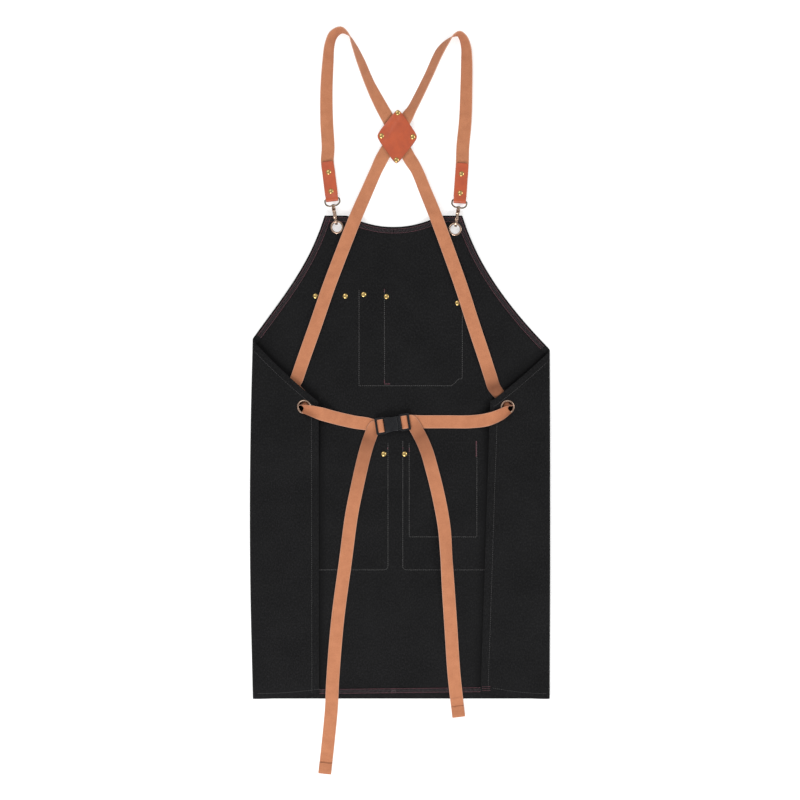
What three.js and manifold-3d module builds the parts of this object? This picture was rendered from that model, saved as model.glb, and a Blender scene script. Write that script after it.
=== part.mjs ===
// A work apron with cross-back straps, laid flat with its back up and both sides folded in over the middle.
// X runs to the right from the cloth's middle line, Y from the bib's top edge towards the shoulders, and
// Z up from the surface that the apron lies on. Every length is in millimetres.
import * as THREE from 'three';
import { mergeVertices } from 'three/addons/utils/BufferGeometryUtils.js';
import Module from 'manifold-3d';

const wasm = await Module();
wasm.setup();

const { clamp, degToRad, lerp, radToDeg, smoothstep } = THREE.MathUtils;

// Thicknesses and clearances
const CLOTH = 1.2;
const LEATHER = 1.6;
const WEB_WIDTH = 20.5;
const WEB_THICKNESS = 1.6;
const GAP = 0.3;
const LAID_GAP = 0.45;

// The cloth
const HEIGHT = 760;
const HIP_HALF = 340;
const BIB_HALF = 108;
const NECK_HALF = 73;
const NECK_DEPTH = 17.5;
const ARMHOLE_DROP = 290;
const ARMHOLE_START = 0.375;
const FOLD = { left: 221, right: 245.5 };
const FOLD_BOW = { left: 4.5, right: 0.5, start: 185 };
const FOLD_RADIUS = 3.5;
const PANEL_EDGE = { left: { top: 118, bottom: 117.5 }, right: { top: 152.8, bottom: 137.6 } };
const PANEL_GAP = 0.9;
const PANEL_DROP = { left: 8.5, right: 1 };
const HEM_RISE = { left: 6.5, right: 9 };

// How the cloth drapes round what lies under it
const DRAPE_MARGIN = 36;
const DRAPE_RUN = 110;
const CORNER_FLAT = 32;
const CORNER_RUN = 85;
const GROMMET_FLAT = 34;
const GROMMET_RUN = 62;
const FALL = { start: 6, end: 50 };
const STRAP_ZONE = { full: 48, none: 120 };

// Pockets on the front, as edges from the middle line and from the bib's top
const CHEST_POCKET = { left: -56, right: 110, top: -114, bottom: -269, slant: 14, chamfer: 18 };
const LOWER_POCKET = { width: 190, top: -352, bottom: -559, corner: 8 };
const LOWER_POCKET_EDGE = { left: -7, right: 13 };
const PHONE_POCKET = { left: 23, width: 110, top: -355, bottom: -507 };
const TOOL_LOOP = { left: -131, right: -68, middle: -126, width: 16 };

// Rivets and grommets
const RIVET = { cap: 4, dome: 1.3, back: 1.0, shank: 1.4, sides: 8 };
const RIVET_INSET = 9;
const DIVIDER = 45;
const BIB_GROMMET = { hole: 7.5, outer: 10.5 };
const WAIST_GROMMET = { hole: 8.1, outer: 11.1 };
const FLANGE = 1.1;
const BARREL = 0.9;
const BIB_GROMMET_AT = { left: [-88.8, -17.8], right: [96.9, -20.9] };
const WAIST_GROMMET_AT = { left: [-140.6, -300.5], right: [179.4, -300.8] };

// Swivel snap hooks, their loops and the leather tabs that hold them
const HOOK = { length: 28.4, height: 15.5, wire: 3.2, width: 5.5, tip: 4, floor: 0.4, collar: 3.2, neck: 5 };
const GATE = { pivot: 7.2, thickness: 2.4, width: 3, barrel: 1.7, pin: 0.7, thumb: 2.4, play: 0.6 };
const SWIVEL = { post: 1.3, boss: 2.6, length: 4 };
const LOOP = { width: 25.7, depth: 14.6, wire: 2.5, side: 5, corner: 1.5 };
const CLIP_TURN = { left: 10.3, right: -9.3 };
const TAB = { length: 60, width: 19.5, corner: 5, rivets: [12, 42.5], bar: 6, fold: 2.5 };
const TAB_TURN = { left: 7, right: -4 };

// Cross-back harness
const PATCH = { x: 5.8, y: 125, halfWidth: 32.8, halfHeight: 44.2, turn: -1.7 };
const PATCH_RIVET = { across: 0.75, along: 0.84 };
const HARNESS = { half: 110, rise: 171 };
const LEG = { run: 400, left: 165, right: 154.5 };
const LEG_LIFT = { free: 1.8, under: 0.8 };

// Side-release buckle and the strap tails that hang from it
const BUCKLE = { x: -1.3, y: -327.6, turn: 9, half: 13.2, width: 24, thickness: 8.5 };
const LADDER = {
  slot: 3, bar: 5, outerSlot: 3.2, outerBar: 3, rail: 2.4, play: 0.6, thickness: 3, corner: 1.5,
};
const SOCKET = { seam: 8, wall: 1.8, prong: 4, window: 9, barb: 1, guide: 3, corner: 2, inset: 0.6 };
const TAIL = { left: { drop: 546, spread: 80 }, right: { drop: 465, spread: 77 } };

const COLOURS = {
  canvas: { color: 0x1b1b1c, roughness: 0.95, metalness: 0 },
  webbing: { color: 0xc6805c, roughness: 0.85, metalness: 0 },
  leather: { color: 0xc15c42, roughness: 0.5, metalness: 0 },
  brass: { color: 0xbea05a, roughness: 0.3, metalness: 1 },
  steel: { color: 0x968278, roughness: 0.35, metalness: 1 },
  bronze: { color: 0x5f5041, roughness: 0.4, metalness: 1 },
  plastic: { color: 0x17181a, roughness: 0.35, metalness: 0 },
};

// How the strap's shoulder loops run: outward as a share of HARNESS.half and up as a share of
// HARNESS.rise, both from the patch's middle, with the strap's roll about its own line in degrees.
const SHOULDER = {
  left: [
    { out: 0.99, up: -0.1, roll: 0 },
    { out: 1.01, up: 0.15, roll: -12 },
    { out: 1.012, up: 0.43, roll: -22 },
    { out: 0.99, up: 0.69, roll: -34 },
    { out: 0.965, up: 0.845, roll: -46 },
    { out: 0.91, up: 0.935, roll: -52 },
    { out: 0.8, up: 0.975, roll: -68 },
    { out: 0.695, up: 0.935, roll: -90 },
    { out: 0.622, up: 0.845, roll: -111 },
    { out: 0.52, up: 0.69, roll: -130 },
    { out: 0.388, up: 0.48, roll: -139 },
    { out: 0.22, up: 0.27, roll: -165 },
  ],
  right: [
    { out: 0.94, up: -0.1, roll: 0 },
    { out: 0.976, up: 0.15, roll: -14 },
    { out: 0.99, up: 0.43, roll: -24 },
    { out: 0.995, up: 0.69, roll: -32 },
    { out: 0.985, up: 0.82, roll: -44 },
    { out: 0.945, up: 0.9, roll: -56 },
    { out: 0.885, up: 0.94, roll: -72 },
    { out: 0.81, up: 0.925, roll: -90 },
    { out: 0.71, up: 0.865, roll: -117 },
    { out: 0.61, up: 0.78, roll: -132 },
    { out: 0.44, up: 0.545, roll: -131 },
    { out: 0.21, up: 0.25, roll: -137 },
  ],
};

// The legs from the patch down to the waist, as shares of LEG.run and of the leg's own spread.
const LEG_ROUTE = [
  { down: 0.13, out: 0.19 },
  { down: 0.22, out: 0.29 },
  { down: 0.31, out: 0.387 },
  { down: 0.45, out: 0.522 },
  { down: 0.595, out: 0.656 },
  { down: 0.737, out: 0.774 },
  { down: 0.878, out: 0.895 },
  { down: 0.95, out: 0.957 },
];

// The tails below the buckle, as shares of their own drop and spread, with the strap's roll in degrees.
const TAIL_ROUTE = {
  left: [
    { down: 0.038, out: 0.127, roll: 0 },
    { down: 0.081, out: 0.216, roll: 0 },
    { down: 0.168, out: 0.353, roll: 0 },
    { down: 0.254, out: 0.47, roll: 0 },
    { down: 0.384, out: 0.588, roll: 0 },
    { down: 0.558, out: 0.745, roll: 0 },
    { down: 0.731, out: 0.843, roll: 0 },
    { down: 0.81, out: 0.868, roll: 0 },
    { down: 0.9, out: 0.925, roll: 0 },
    { down: 1, out: 1, roll: 0 },
  ],
  right: [
    { down: 0.052, out: 0.214, roll: 0 },
    { down: 0.103, out: 0.347, roll: 0 },
    { down: 0.155, out: 0.439, roll: 0 },
    { down: 0.258, out: 0.592, roll: 0 },
    { down: 0.361, out: 0.702, roll: 12 },
    { down: 0.464, out: 0.747, roll: 24 },
    { down: 0.567, out: 0.786, roll: 8 },
    { down: 0.7, out: 0.84, roll: 0 },
    { down: 0.85, out: 0.9, roll: 0 },
    { down: 0.945, out: 0.96, roll: 0 },
    { down: 1, out: 1, roll: 0 },
  ],
};

const MATERIALS = {};
for (const [name, look] of Object.entries(COLOURS)) {
  MATERIALS[name] = () => new THREE.MeshStandardMaterial(look);
}

const SIDES = { left: -1, right: 1 };
const PLATEAU = 2 * (CLOTH + GAP);

// Mesh helpers

function closedMesh(points, faces) {
  let volume = 0;
  for (const [a, b, c] of faces) {
    volume += points[a].dot(points[b].clone().cross(points[c]));
  }
  const index = volume < 0 ? faces.flatMap(([a, b, c]) => [a, c, b]) : faces.flat();
  const mesh = new THREE.BufferGeometry();
  mesh.setAttribute('position', new THREE.Float32BufferAttribute(points.flatMap((p) => [p.x, p.y, p.z]), 3));
  mesh.setIndex(index);
  return mesh;
}

function toSolid(shape) {
  const bare = shape.clone();
  bare.deleteAttribute('normal');
  bare.deleteAttribute('uv');
  const merged = mergeVertices(bare);
  const vertProperties = new Float32Array(merged.attributes.position.array);
  const triVerts = new Uint32Array(merged.index.array);
  return new wasm.Manifold(new wasm.Mesh({ numProp: 3, vertProperties, triVerts }));
}

function toMesh(solid) {
  const cut = solid.getMesh();
  const mesh = new THREE.BufferGeometry();
  mesh.setAttribute('position', new THREE.Float32BufferAttribute(cut.vertProperties, 3));
  mesh.setIndex(Array.from(cut.triVerts));
  return mesh;
}

function join(...shapes) {
  return toMesh(shapes.map(toSolid).reduce((whole, piece) => whole.add(piece)));
}

function cut(shape, ...tools) {
  return toMesh(tools.map(toSolid).reduce((whole, tool) => whole.subtract(tool), toSolid(shape)));
}

function common(shape, other) {
  return toMesh(toSolid(shape).intersect(toSolid(other)));
}

// Sections of equal length joined one to the next, with flat ends or closed into a ring. Opposite faces are
// divided along the same diagonal, so that a strip keeps its thickness where it twists.
function loft(sections, ring = false) {
  const count = sections[0].length;
  const points = sections.flat();
  const faces = [];
  const last = ring ? sections.length : sections.length - 1;
  for (let i = 0; i < last; i += 1) {
    const near = i * count;
    const far = ((i + 1) % sections.length) * count;
    for (let j = 0; j < count; j += 1) {
      const next = (j + 1) % count;
      if (2 * j < count) {
        faces.push([near + j, near + next, far + next], [near + j, far + next, far + j]);
      } else {
        faces.push([near + j, near + next, far + j], [near + next, far + next, far + j]);
      }
    }
  }
  if (!ring) {
    const end = (sections.length - 1) * count;
    for (let j = 1; j < count - 1; j += 1) {
      faces.push([0, j + 1, j], [end, end + j, end + j + 1]);
    }
  }
  return closedMesh(points, faces);
}

// A wall of even thickness about a grid of points on its middle surface.
function slab(grid, thickness) {
  const rows = grid.length;
  const columns = grid[0].length;
  const upper = [];
  const lower = [];
  for (let i = 0; i < rows; i += 1) {
    for (let j = 0; j < columns; j += 1) {
      const across = grid[i][Math.min(j + 1, columns - 1)].clone().sub(grid[i][Math.max(j - 1, 0)]);
      const along = grid[Math.min(i + 1, rows - 1)][j].clone().sub(grid[Math.max(i - 1, 0)][j]);
      const normal = across.cross(along).setLength(thickness / 2);
      upper.push(grid[i][j].clone().add(normal));
      lower.push(grid[i][j].clone().sub(normal));
    }
  }
  const under = upper.length;
  const faces = [];
  for (let i = 0; i < rows - 1; i += 1) {
    for (let j = 0; j < columns - 1; j += 1) {
      const a = i * columns + j;
      const b = a + 1;
      const c = a + columns + 1;
      const d = a + columns;
      faces.push([a, b, c], [a, c, d], [under + a, under + c, under + b], [under + a, under + d, under + c]);
    }
  }
  const rim = [];
  for (let j = 0; j < columns - 1; j += 1) {
    rim.push(j);
  }
  for (let i = 0; i < rows - 1; i += 1) {
    rim.push(i * columns + columns - 1);
  }
  for (let j = columns - 1; j > 0; j -= 1) {
    rim.push((rows - 1) * columns + j);
  }
  for (let i = rows - 1; i > 0; i -= 1) {
    rim.push(i * columns);
  }
  rim.forEach((a, k) => {
    const b = rim[(k + 1) % rim.length];
    faces.push([a, under + a, under + b], [a, under + b, b]);
  });
  return closedMesh([...upper, ...lower], faces);
}

function plate(shape, bottom, thickness) {
  const body = new THREE.ExtrudeGeometry(shape, { depth: thickness, bevelEnabled: false, curveSegments: 3 });
  return body.translate(0, 0, bottom);
}

function block(x, y, z) {
  const body = new THREE.BoxGeometry(x[1] - x[0], y[1] - y[0], z[1] - z[0]);
  return body.translate((x[0] + x[1]) / 2, (y[0] + y[1]) / 2, (z[0] + z[1]) / 2);
}

function post(radius, bottom, top, x = 0, y = 0, sides = 8) {
  const body = new THREE.CylinderGeometry(radius, radius, top - bottom, sides);
  return body.rotateX(Math.PI / 2).translate(x, y, (top + bottom) / 2);
}

function polygon(points) {
  return new THREE.Shape(points.map(([x, y]) => new THREE.Vector2(x, y)));
}

function roundedBox(left, right, bottom, top, radius) {
  const shape = new THREE.Shape();
  shape.moveTo(left + radius, bottom);
  shape.lineTo(right - radius, bottom);
  shape.absarc(right - radius, bottom + radius, radius, -Math.PI / 2, 0);
  shape.lineTo(right, top - radius);
  shape.absarc(right - radius, top - radius, radius, 0, Math.PI / 2);
  shape.lineTo(left + radius, top);
  shape.absarc(left + radius, top - radius, radius, Math.PI / 2, Math.PI);
  shape.lineTo(left, bottom + radius);
  shape.absarc(left + radius, bottom + radius, radius, Math.PI, 1.5 * Math.PI);
  return shape;
}

const group = new THREE.Group();

function addPiece(name, shape, material, holder = group) {
  const piece = new THREE.Mesh(shape, MATERIALS[material]());
  piece.name = name;
  holder.add(piece);
  return piece;
}

// The draped cloth

function hookArmTop() {
  return HOOK.floor + HOOK.wire;
}

// The middle height of the cloth in a bib grommet: its lower flange runs just clear of the hook's lower arm.
const CORNER_MIDDLE = hookArmTop() + 2 * GAP + FLANGE + CLOTH / 2 + GAP;

function pocketBox(side) {
  const inner = LOWER_POCKET_EDGE[side];
  const outer = inner + SIDES[side] * LOWER_POCKET.width;
  const edges = { left: Math.min(inner, outer), right: Math.max(inner, outer) };
  return { ...edges, top: LOWER_POCKET.top, bottom: LOWER_POCKET.bottom };
}

const LOOP_BOX = {
  left: TOOL_LOOP.left,
  right: TOOL_LOOP.right,
  top: TOOL_LOOP.middle + TOOL_LOOP.width / 2,
  bottom: TOOL_LOOP.middle - TOOL_LOOP.width / 2,
};
const PADS = [CHEST_POCKET, pocketBox('left'), pocketBox('right'), LOOP_BOX];

function near(distance, full, none) {
  return 1 - smoothstep(distance, full, none);
}

// The height of the main layer's underside.
function mainFloor(x, y) {
  let rise = 0;
  for (const pad of PADS) {
    const aside = Math.max(pad.left - x, 0, x - pad.right);
    const along = Math.max(pad.bottom - y, 0, y - pad.top);
    rise = Math.max(rise, PLATEAU * near(Math.hypot(aside, along), DRAPE_MARGIN, DRAPE_MARGIN + DRAPE_RUN));
  }
  for (const [gx, gy] of Object.values(BIB_GROMMET_AT)) {
    const lift = CORNER_MIDDLE - CLOTH / 2;
    rise = Math.max(rise, lift * near(Math.hypot(x - gx, y - gy), CORNER_FLAT, CORNER_RUN));
  }
  return rise;
}

function mainTop(x, y) {
  return mainFloor(x, y) + CLOTH;
}

// Where a side is folded, and where the folded-in panel's inner edge lies, out from the middle line.
function foldLine(side, y) {
  const share = clamp((-y - FOLD_BOW.start) / (HEIGHT - FOLD_BOW.start), 0, 1);
  return FOLD[side] + FOLD_BOW[side] * Math.sin(Math.PI * share);
}

function panelEdge(side, y) {
  const { top, bottom } = PANEL_EDGE[side];
  return lerp(top, bottom, clamp((-y - ARMHOLE_DROP) / (HEIGHT - ARMHOLE_DROP), 0, 1));
}

function armholeDepth(half) {
  const share = (half - BIB_HALF) / (HIP_HALF - BIB_HALF);
  const bend = 1 - ARMHOLE_START;
  return (ARMHOLE_DROP * (Math.sqrt(ARMHOLE_START ** 2 + 4 * bend * share) - ARMHOLE_START)) / (2 * bend);
}

// The flat cloth's top edge: neckline, bib corner and armhole.
function topEdge(half) {
  if (half < NECK_HALF) {
    const radius = (NECK_HALF ** 2 + NECK_DEPTH ** 2) / (2 * NECK_DEPTH);
    return radius - NECK_DEPTH - Math.sqrt(radius ** 2 - half ** 2);
  }
  return half <= BIB_HALF ? 0 : -armholeDepth(Math.min(half, HIP_HALF));
}

// The folded-in panel lies close on the main layer, and higher at its fold and where the strap runs below it.
function restingPanel(side, x, y) {
  const beyond = foldLine(side, y) - FOLD_RADIUS - Math.abs(x);
  const low = CLOTH + PANEL_GAP;
  const strap = near(Math.abs(y - WAIST_GROMMET_AT[side][1]), STRAP_ZONE.full, STRAP_ZONE.none);
  const fold = near(beyond, 0, FOLD[side] - PANEL_EDGE[side].top);
  return mainFloor(x, y) + CLOTH / 2 + lerp(low, 2 * FOLD_RADIUS, Math.max(strap, fold));
}

// The height of the panel's middle surface, level round its grommet.
function panelMiddle(side, x, y) {
  const [gx, gy] = WAIST_GROMMET_AT[side];
  const level = near(Math.hypot(x - gx, y - gy), GROMMET_FLAT, GROMMET_RUN);
  return lerp(restingPanel(side, x, y), restingPanel(side, gx, gy), level);
}

// A column of the cloth's grid keeps to its own zone: bib, wing, fold or panel.
function flatPlace({ side, zone, share }, y) {
  const start = foldLine(side, y) - FOLD_RADIUS;
  const turned = start + Math.PI * FOLD_RADIUS;
  const edge = turned + start - panelEdge(side, y);
  const spans = { bib: [0, BIB_HALF], wing: [BIB_HALF, start], fold: [start, turned], panel: [turned, edge] };
  return lerp(...spans[zone], share);
}

function clothPoint(column, y) {
  const sign = SIDES[column.side];
  const flat = flatPlace(column, y);
  const start = foldLine(column.side, y) - FOLD_RADIUS;
  if (column.zone === 'bib' || column.zone === 'wing') {
    const x = sign * flat;
    return new THREE.Vector3(x, y, mainFloor(x, y) + CLOTH / 2);
  }
  if (column.zone === 'fold') {
    const angle = Math.PI * column.share;
    const x = sign * (start + FOLD_RADIUS * Math.sin(angle));
    const base = mainFloor(sign * start, y) + CLOTH / 2;
    return new THREE.Vector3(x, y, base + FOLD_RADIUS * (1 - Math.cos(angle)));
  }
  const beyond = flat - flatPlace({ ...column, share: 0 }, y);
  const x = sign * (start - beyond);
  return new THREE.Vector3(x, y, panelMiddle(column.side, x, y));
}

// How much of the panel's slide down along its fold a column takes.
function turnedShare({ zone, share }) {
  return { bib: 0, wing: share ** 4, fold: 1, panel: 1 }[zone];
}

function clothColumns(side) {
  const neck = NECK_HALF / BIB_HALF;
  const zones = [
    { zone: 'bib', shares: [neck * 0.4, neck * 0.75, neck, 1] },
    { zone: 'wing', shares: [0.1, 0.26, 0.44, 0.62, 0.8, 1] },
    { zone: 'fold', shares: [0.2, 0.4, 0.6, 0.8, 1] },
    { zone: 'panel', shares: [0.25, 0.5, 0.75, 1] },
  ];
  return zones.flatMap(({ zone, shares }) => shares.map((share) => ({ side, zone, share })));
}

const CLOTH_ROWS = 16;

function clothMesh() {
  const left = clothColumns('left').reverse();
  const columns = [...left, { side: 'right', zone: 'bib', share: 0 }, ...clothColumns('right')];
  const grid = [];
  for (let row = 0; row <= CLOTH_ROWS; row += 1) {
    grid.push(columns.map((column) => {
      let top = -ARMHOLE_DROP;
      for (let turn = 0; turn < 6; turn += 1) {
        top = topEdge(flatPlace(column, top)) - PANEL_DROP[column.side] * turnedShare(column);
      }
      const rise = column.zone === 'panel' ? HEM_RISE[column.side] * column.share ** 2 : 0;
      return clothPoint(column, lerp(rise - HEIGHT, top, row / CLOTH_ROWS));
    }));
  }
  return slab(grid, CLOTH);
}

// Rivets and grommets

const GROMMET_SIDES = 14;
const RIVET_HOLE = RIVET.shank + GAP;

function rivetMesh(bottom, top) {
  const profile = [
    [0, bottom - RIVET.back],
    [RIVET.cap, bottom],
    [RIVET.shank, bottom],
    [RIVET.shank, top],
    [RIVET.cap, top],
    [RIVET.cap * 0.65, top + RIVET.dome * 0.8],
    [0, top + RIVET.dome],
  ];
  const turned = new THREE.LatheGeometry(profile.map(([r, z]) => new THREE.Vector2(r, z)), RIVET.sides);
  return turned.rotateX(Math.PI / 2);
}

function grommetMesh({ hole, outer }) {
  const slot = CLOTH / 2 + GAP;
  const face = slot + FLANGE;
  const half = [
    [hole + BARREL, slot],
    [outer, slot],
    [lerp(outer, hole, 0.3), face],
    [hole, slot + FLANGE * 0.5],
  ];
  const mirrored = half.map(([r, z]) => [r, -z]).reverse();
  const profile = [...half, ...mirrored, half[0]];
  const turned = new THREE.LatheGeometry(profile.map(([r, z]) => new THREE.Vector2(r, z)), GROMMET_SIDES);
  return turned.rotateX(Math.PI / 2);
}

function waistGrommetHeight(side) {
  return panelMiddle(side, ...WAIST_GROMMET_AT[side]);
}

const POCKET_FLOOR = PLATEAU - GAP - CLOTH;
const CHEST_SLOPE = CHEST_POCKET.slant / (CHEST_POCKET.right - CHEST_POCKET.left);

function chestTop(x) {
  return CHEST_POCKET.top - CHEST_SLOPE * (x - CHEST_POCKET.left);
}

const LOOP_RIVET_INSET = 8;
const POCKET_RIVETS = {
  chest_rivet_left: [CHEST_POCKET.left + RIVET_INSET, chestTop(CHEST_POCKET.left) - RIVET_INSET - 2 * GAP],
  chest_rivet_middle: [CHEST_POCKET.left + DIVIDER, chestTop(CHEST_POCKET.left + DIVIDER) - RIVET_INSET],
  chest_rivet_right: [CHEST_POCKET.right - RIVET_INSET, chestTop(CHEST_POCKET.right) - RIVET_INSET],
  loop_rivet_left: [TOOL_LOOP.left + LOOP_RIVET_INSET, TOOL_LOOP.middle],
  loop_rivet_right: [TOOL_LOOP.right - LOOP_RIVET_INSET, TOOL_LOOP.middle],
};
const LOWER_RIVET = { drop: 22.8, left: 8.4, right: 4.5 };
for (const side of ['left', 'right']) {
  const box = pocketBox(side);
  const y = LOWER_POCKET.top - LOWER_RIVET.drop;
  const inner = LOWER_POCKET_EDGE[side] + SIDES[side] * LOWER_RIVET[side];
  const outer = side === 'left' ? box.left + RIVET_INSET : box.right - RIVET_INSET;
  POCKET_RIVETS[`${side}_pocket_rivet_inner`] = [inner, y];
  POCKET_RIVETS[`${side}_pocket_rivet_outer`] = [outer, y];
}

function rivetHoles(names) {
  return names.map((name) => post(RIVET_HOLE, -PLATEAU, 3 * PLATEAU, ...POCKET_RIVETS[name]));
}

// The cloth body with its grommet and rivet holes
const grommetHoles = [];
for (const side of ['left', 'right']) {
  const [bx, by] = BIB_GROMMET_AT[side];
  const bibHole = BIB_GROMMET.hole + BARREL + GAP;
  grommetHoles.push(post(bibHole, 0, 2 * CORNER_MIDDLE, bx, by, GROMMET_SIDES));
  const [wx, wy] = WAIST_GROMMET_AT[side];
  const middle = waistGrommetHeight(side);
  const waistHole = WAIST_GROMMET.hole + BARREL + GAP;
  const depth = FOLD_RADIUS / 2;
  grommetHoles.push(post(waistHole, middle - depth, middle + depth, wx, wy, GROMMET_SIDES));
}
const clothHoles = [...grommetHoles, ...rivetHoles(Object.keys(POCKET_RIVETS))];
addPiece('canvas_body', cut(clothMesh(), ...clothHoles), 'canvas');

// Pockets and tool loop, flat under the cloth
const chestShape = polygon([
  [CHEST_POCKET.left, CHEST_POCKET.bottom],
  [CHEST_POCKET.right - CHEST_POCKET.chamfer, CHEST_POCKET.bottom],
  [CHEST_POCKET.right, CHEST_POCKET.bottom + CHEST_POCKET.chamfer],
  [CHEST_POCKET.right, chestTop(CHEST_POCKET.right)],
  [CHEST_POCKET.left, chestTop(CHEST_POCKET.left)],
]);
const chestHoles = rivetHoles(['chest_rivet_left', 'chest_rivet_middle', 'chest_rivet_right']);
addPiece('chest_pocket', cut(plate(chestShape, POCKET_FLOOR, CLOTH), ...chestHoles), 'canvas');

for (const side of ['left', 'right']) {
  const box = pocketBox(side);
  const shape = roundedBox(box.left, box.right, box.bottom, box.top, LOWER_POCKET.corner);
  const holes = rivetHoles([`${side}_pocket_rivet_inner`, `${side}_pocket_rivet_outer`]);
  addPiece(`${side}_pocket`, cut(plate(shape, POCKET_FLOOR, CLOTH), ...holes), 'canvas');
}

const phoneX = [PHONE_POCKET.left, PHONE_POCKET.left + PHONE_POCKET.width];
addPiece('phone_pocket', block(phoneX, [PHONE_POCKET.bottom, PHONE_POCKET.top], [0, CLOTH]), 'canvas');

const loopFloor = PLATEAU - GAP - LEATHER;
const loopHalf = TOOL_LOOP.width / 2;
const loopShape = roundedBox(
  TOOL_LOOP.left, TOOL_LOOP.right, TOOL_LOOP.middle - loopHalf, TOOL_LOOP.middle + loopHalf, loopHalf / 2,
);
const loopHoles = rivetHoles(['loop_rivet_left', 'loop_rivet_right']);
addPiece('tool_loop', cut(plate(loopShape, loopFloor, LEATHER), ...loopHoles), 'leather');

for (const [name, [x, y]] of Object.entries(POCKET_RIVETS)) {
  const lower = name.startsWith('loop') ? loopFloor : POCKET_FLOOR;
  addPiece(name, rivetMesh(lower - GAP / 3, mainTop(x, y) + GAP), 'brass').position.set(x, y, 0);
}

for (const side of ['left', 'right']) {
  const bib = addPiece(`bib_grommet_${side}`, grommetMesh(BIB_GROMMET), 'steel');
  bib.position.set(...BIB_GROMMET_AT[side], CORNER_MIDDLE);
  const waist = addPiece(`waist_grommet_${side}`, grommetMesh(WAIST_GROMMET), 'steel');
  waist.position.set(...WAIST_GROMMET_AT[side], waistGrommetHeight(side));
}

// Swivel snap hooks. In a clip's own frame +X runs along the hook's axis towards the grommet and Z is up.

function barSection(point, direction, width, thickness) {
  const side = new THREE.Vector3(0, width / 2, 0);
  const rise = new THREE.Vector3(-direction.z, 0, direction.x).setLength(thickness / 2);
  const corners = [[1, 0.6], [0.6, 1], [-0.6, 1], [-1, 0.6], [-1, -0.6], [-0.6, -1], [0.6, -1], [1, -0.6]];
  return corners.map(([across, up]) => point.clone().addScaledVector(side, across).addScaledVector(rise, up));
}

function bentBar(stations) {
  const points = stations.map(({ x, z }) => new THREE.Vector3(x, 0, z));
  return loft(stations.map(({ width, thickness }, i) => {
    const before = points[Math.max(i - 1, 0)];
    const after = points[Math.min(i + 1, points.length - 1)];
    return barSection(points[i], after.clone().sub(before).normalize(), width, thickness);
  }));
}

function alongX(radius, from, to, sides = 10) {
  return new THREE.CylinderGeometry(radius, radius, to - from, sides)
    .rotateZ(Math.PI / 2)
    .translate((from + to) / 2, 0, 0);
}

function acrossY(radius, half, x, z, sides = 10) {
  return new THREE.CylinderGeometry(radius, radius, 2 * half, sides).translate(x, 0, z);
}

const ARM = (HOOK.height - HOOK.wire) / 2;
const TIP_X = HOOK.length - HOOK.wire / 2;
const NOSE_X = HOOK.length * 0.74;

function hookMesh() {
  const { wire, width, tip, neck } = HOOK;
  const middle = (width + tip) / 2;
  const arm = bentBar([
    { x: neck - wire / 2, z: -wire / 3, width, thickness: wire },
    { x: neck + wire / 3, z: -ARM * 0.62, width, thickness: wire },
    { x: neck + wire * 1.25, z: -ARM, width, thickness: wire },
    { x: TIP_X - ARM, z: -ARM, width: middle, thickness: wire },
    { x: TIP_X - ARM * 0.16, z: -ARM * 0.9, width: tip, thickness: wire },
    { x: TIP_X, z: -ARM * 0.55, width: tip, thickness: wire },
    { x: TIP_X, z: ARM * 0.3, width: tip, thickness: wire },
    { x: TIP_X - ARM * 0.4, z: ARM * 0.85, width: tip, thickness: wire },
    { x: NOSE_X, z: ARM, width: tip, thickness: wire * 0.9 },
  ]);
  const shoulder = bentBar([
    { x: neck - wire / 2, z: wire / 3, width, thickness: wire },
    { x: neck, z: ARM * 0.55, width, thickness: wire },
    { x: GATE.pivot - wire / 5, z: ARM + wire / 8, width, thickness: wire * 1.1 },
  ]);
  const cheek = acrossY(GATE.barrel, width / 2, GATE.pivot, ARM);
  const fork = GATE.width / 2 + GAP;
  const barrelRoom = acrossY(GATE.barrel + 2 * GAP, fork, GATE.pivot, ARM);
  const forkEnd = GATE.pivot + 3 * GATE.barrel;
  const frontRoom = block([GATE.pivot, forkEnd], [-fork, fork], [ARM - wire, ARM + wire]);
  const pin = acrossY(GATE.pin, width / 2 - GAP, GATE.pivot, ARM, 8);
  const collar = alongX(HOOK.collar, GAP, neck);
  const bore = alongX(SWIVEL.post + GAP, -GAP, SWIVEL.length + GAP);
  const forked = cut(join(arm, shoulder, cheek, collar), barrelRoom, frontRoom, bore);
  return join(forked, pin);
}

function gateMesh() {
  const reach = NOSE_X - GATE.play;
  const lever = bentBar([
    { x: GATE.pivot, z: ARM, width: GATE.width, thickness: GATE.thickness },
    { x: (GATE.pivot + reach) / 2, z: ARM + GATE.pin / 4, width: GATE.width, thickness: GATE.thickness },
    { x: reach, z: ARM, width: GATE.width, thickness: GATE.thickness },
  ]);
  const barrel = acrossY(GATE.barrel, GATE.width / 2, GATE.pivot, ARM);
  const middle = lerp(GATE.pivot, reach, 0.55);
  const { thumb } = GATE;
  const half = GATE.thickness / 2;
  const rest = bentBar([
    { x: middle - thumb, z: ARM + half * 0.8, width: GATE.width, thickness: half * 0.8 },
    { x: middle, z: ARM + half * 1.5, width: GATE.width + half, thickness: half * 1.3 },
    { x: middle + thumb, z: ARM + half * 0.8, width: GATE.width, thickness: half * 0.8 },
  ]);
  return cut(join(lever, barrel, rest), acrossY(GATE.pin + GAP, GATE.width, GATE.pivot, ARM, 8));
}

const LOOP_BAR_X = LOOP.wire / 2 - LOOP.depth;
const WIRE_SIDES = 6;

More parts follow.
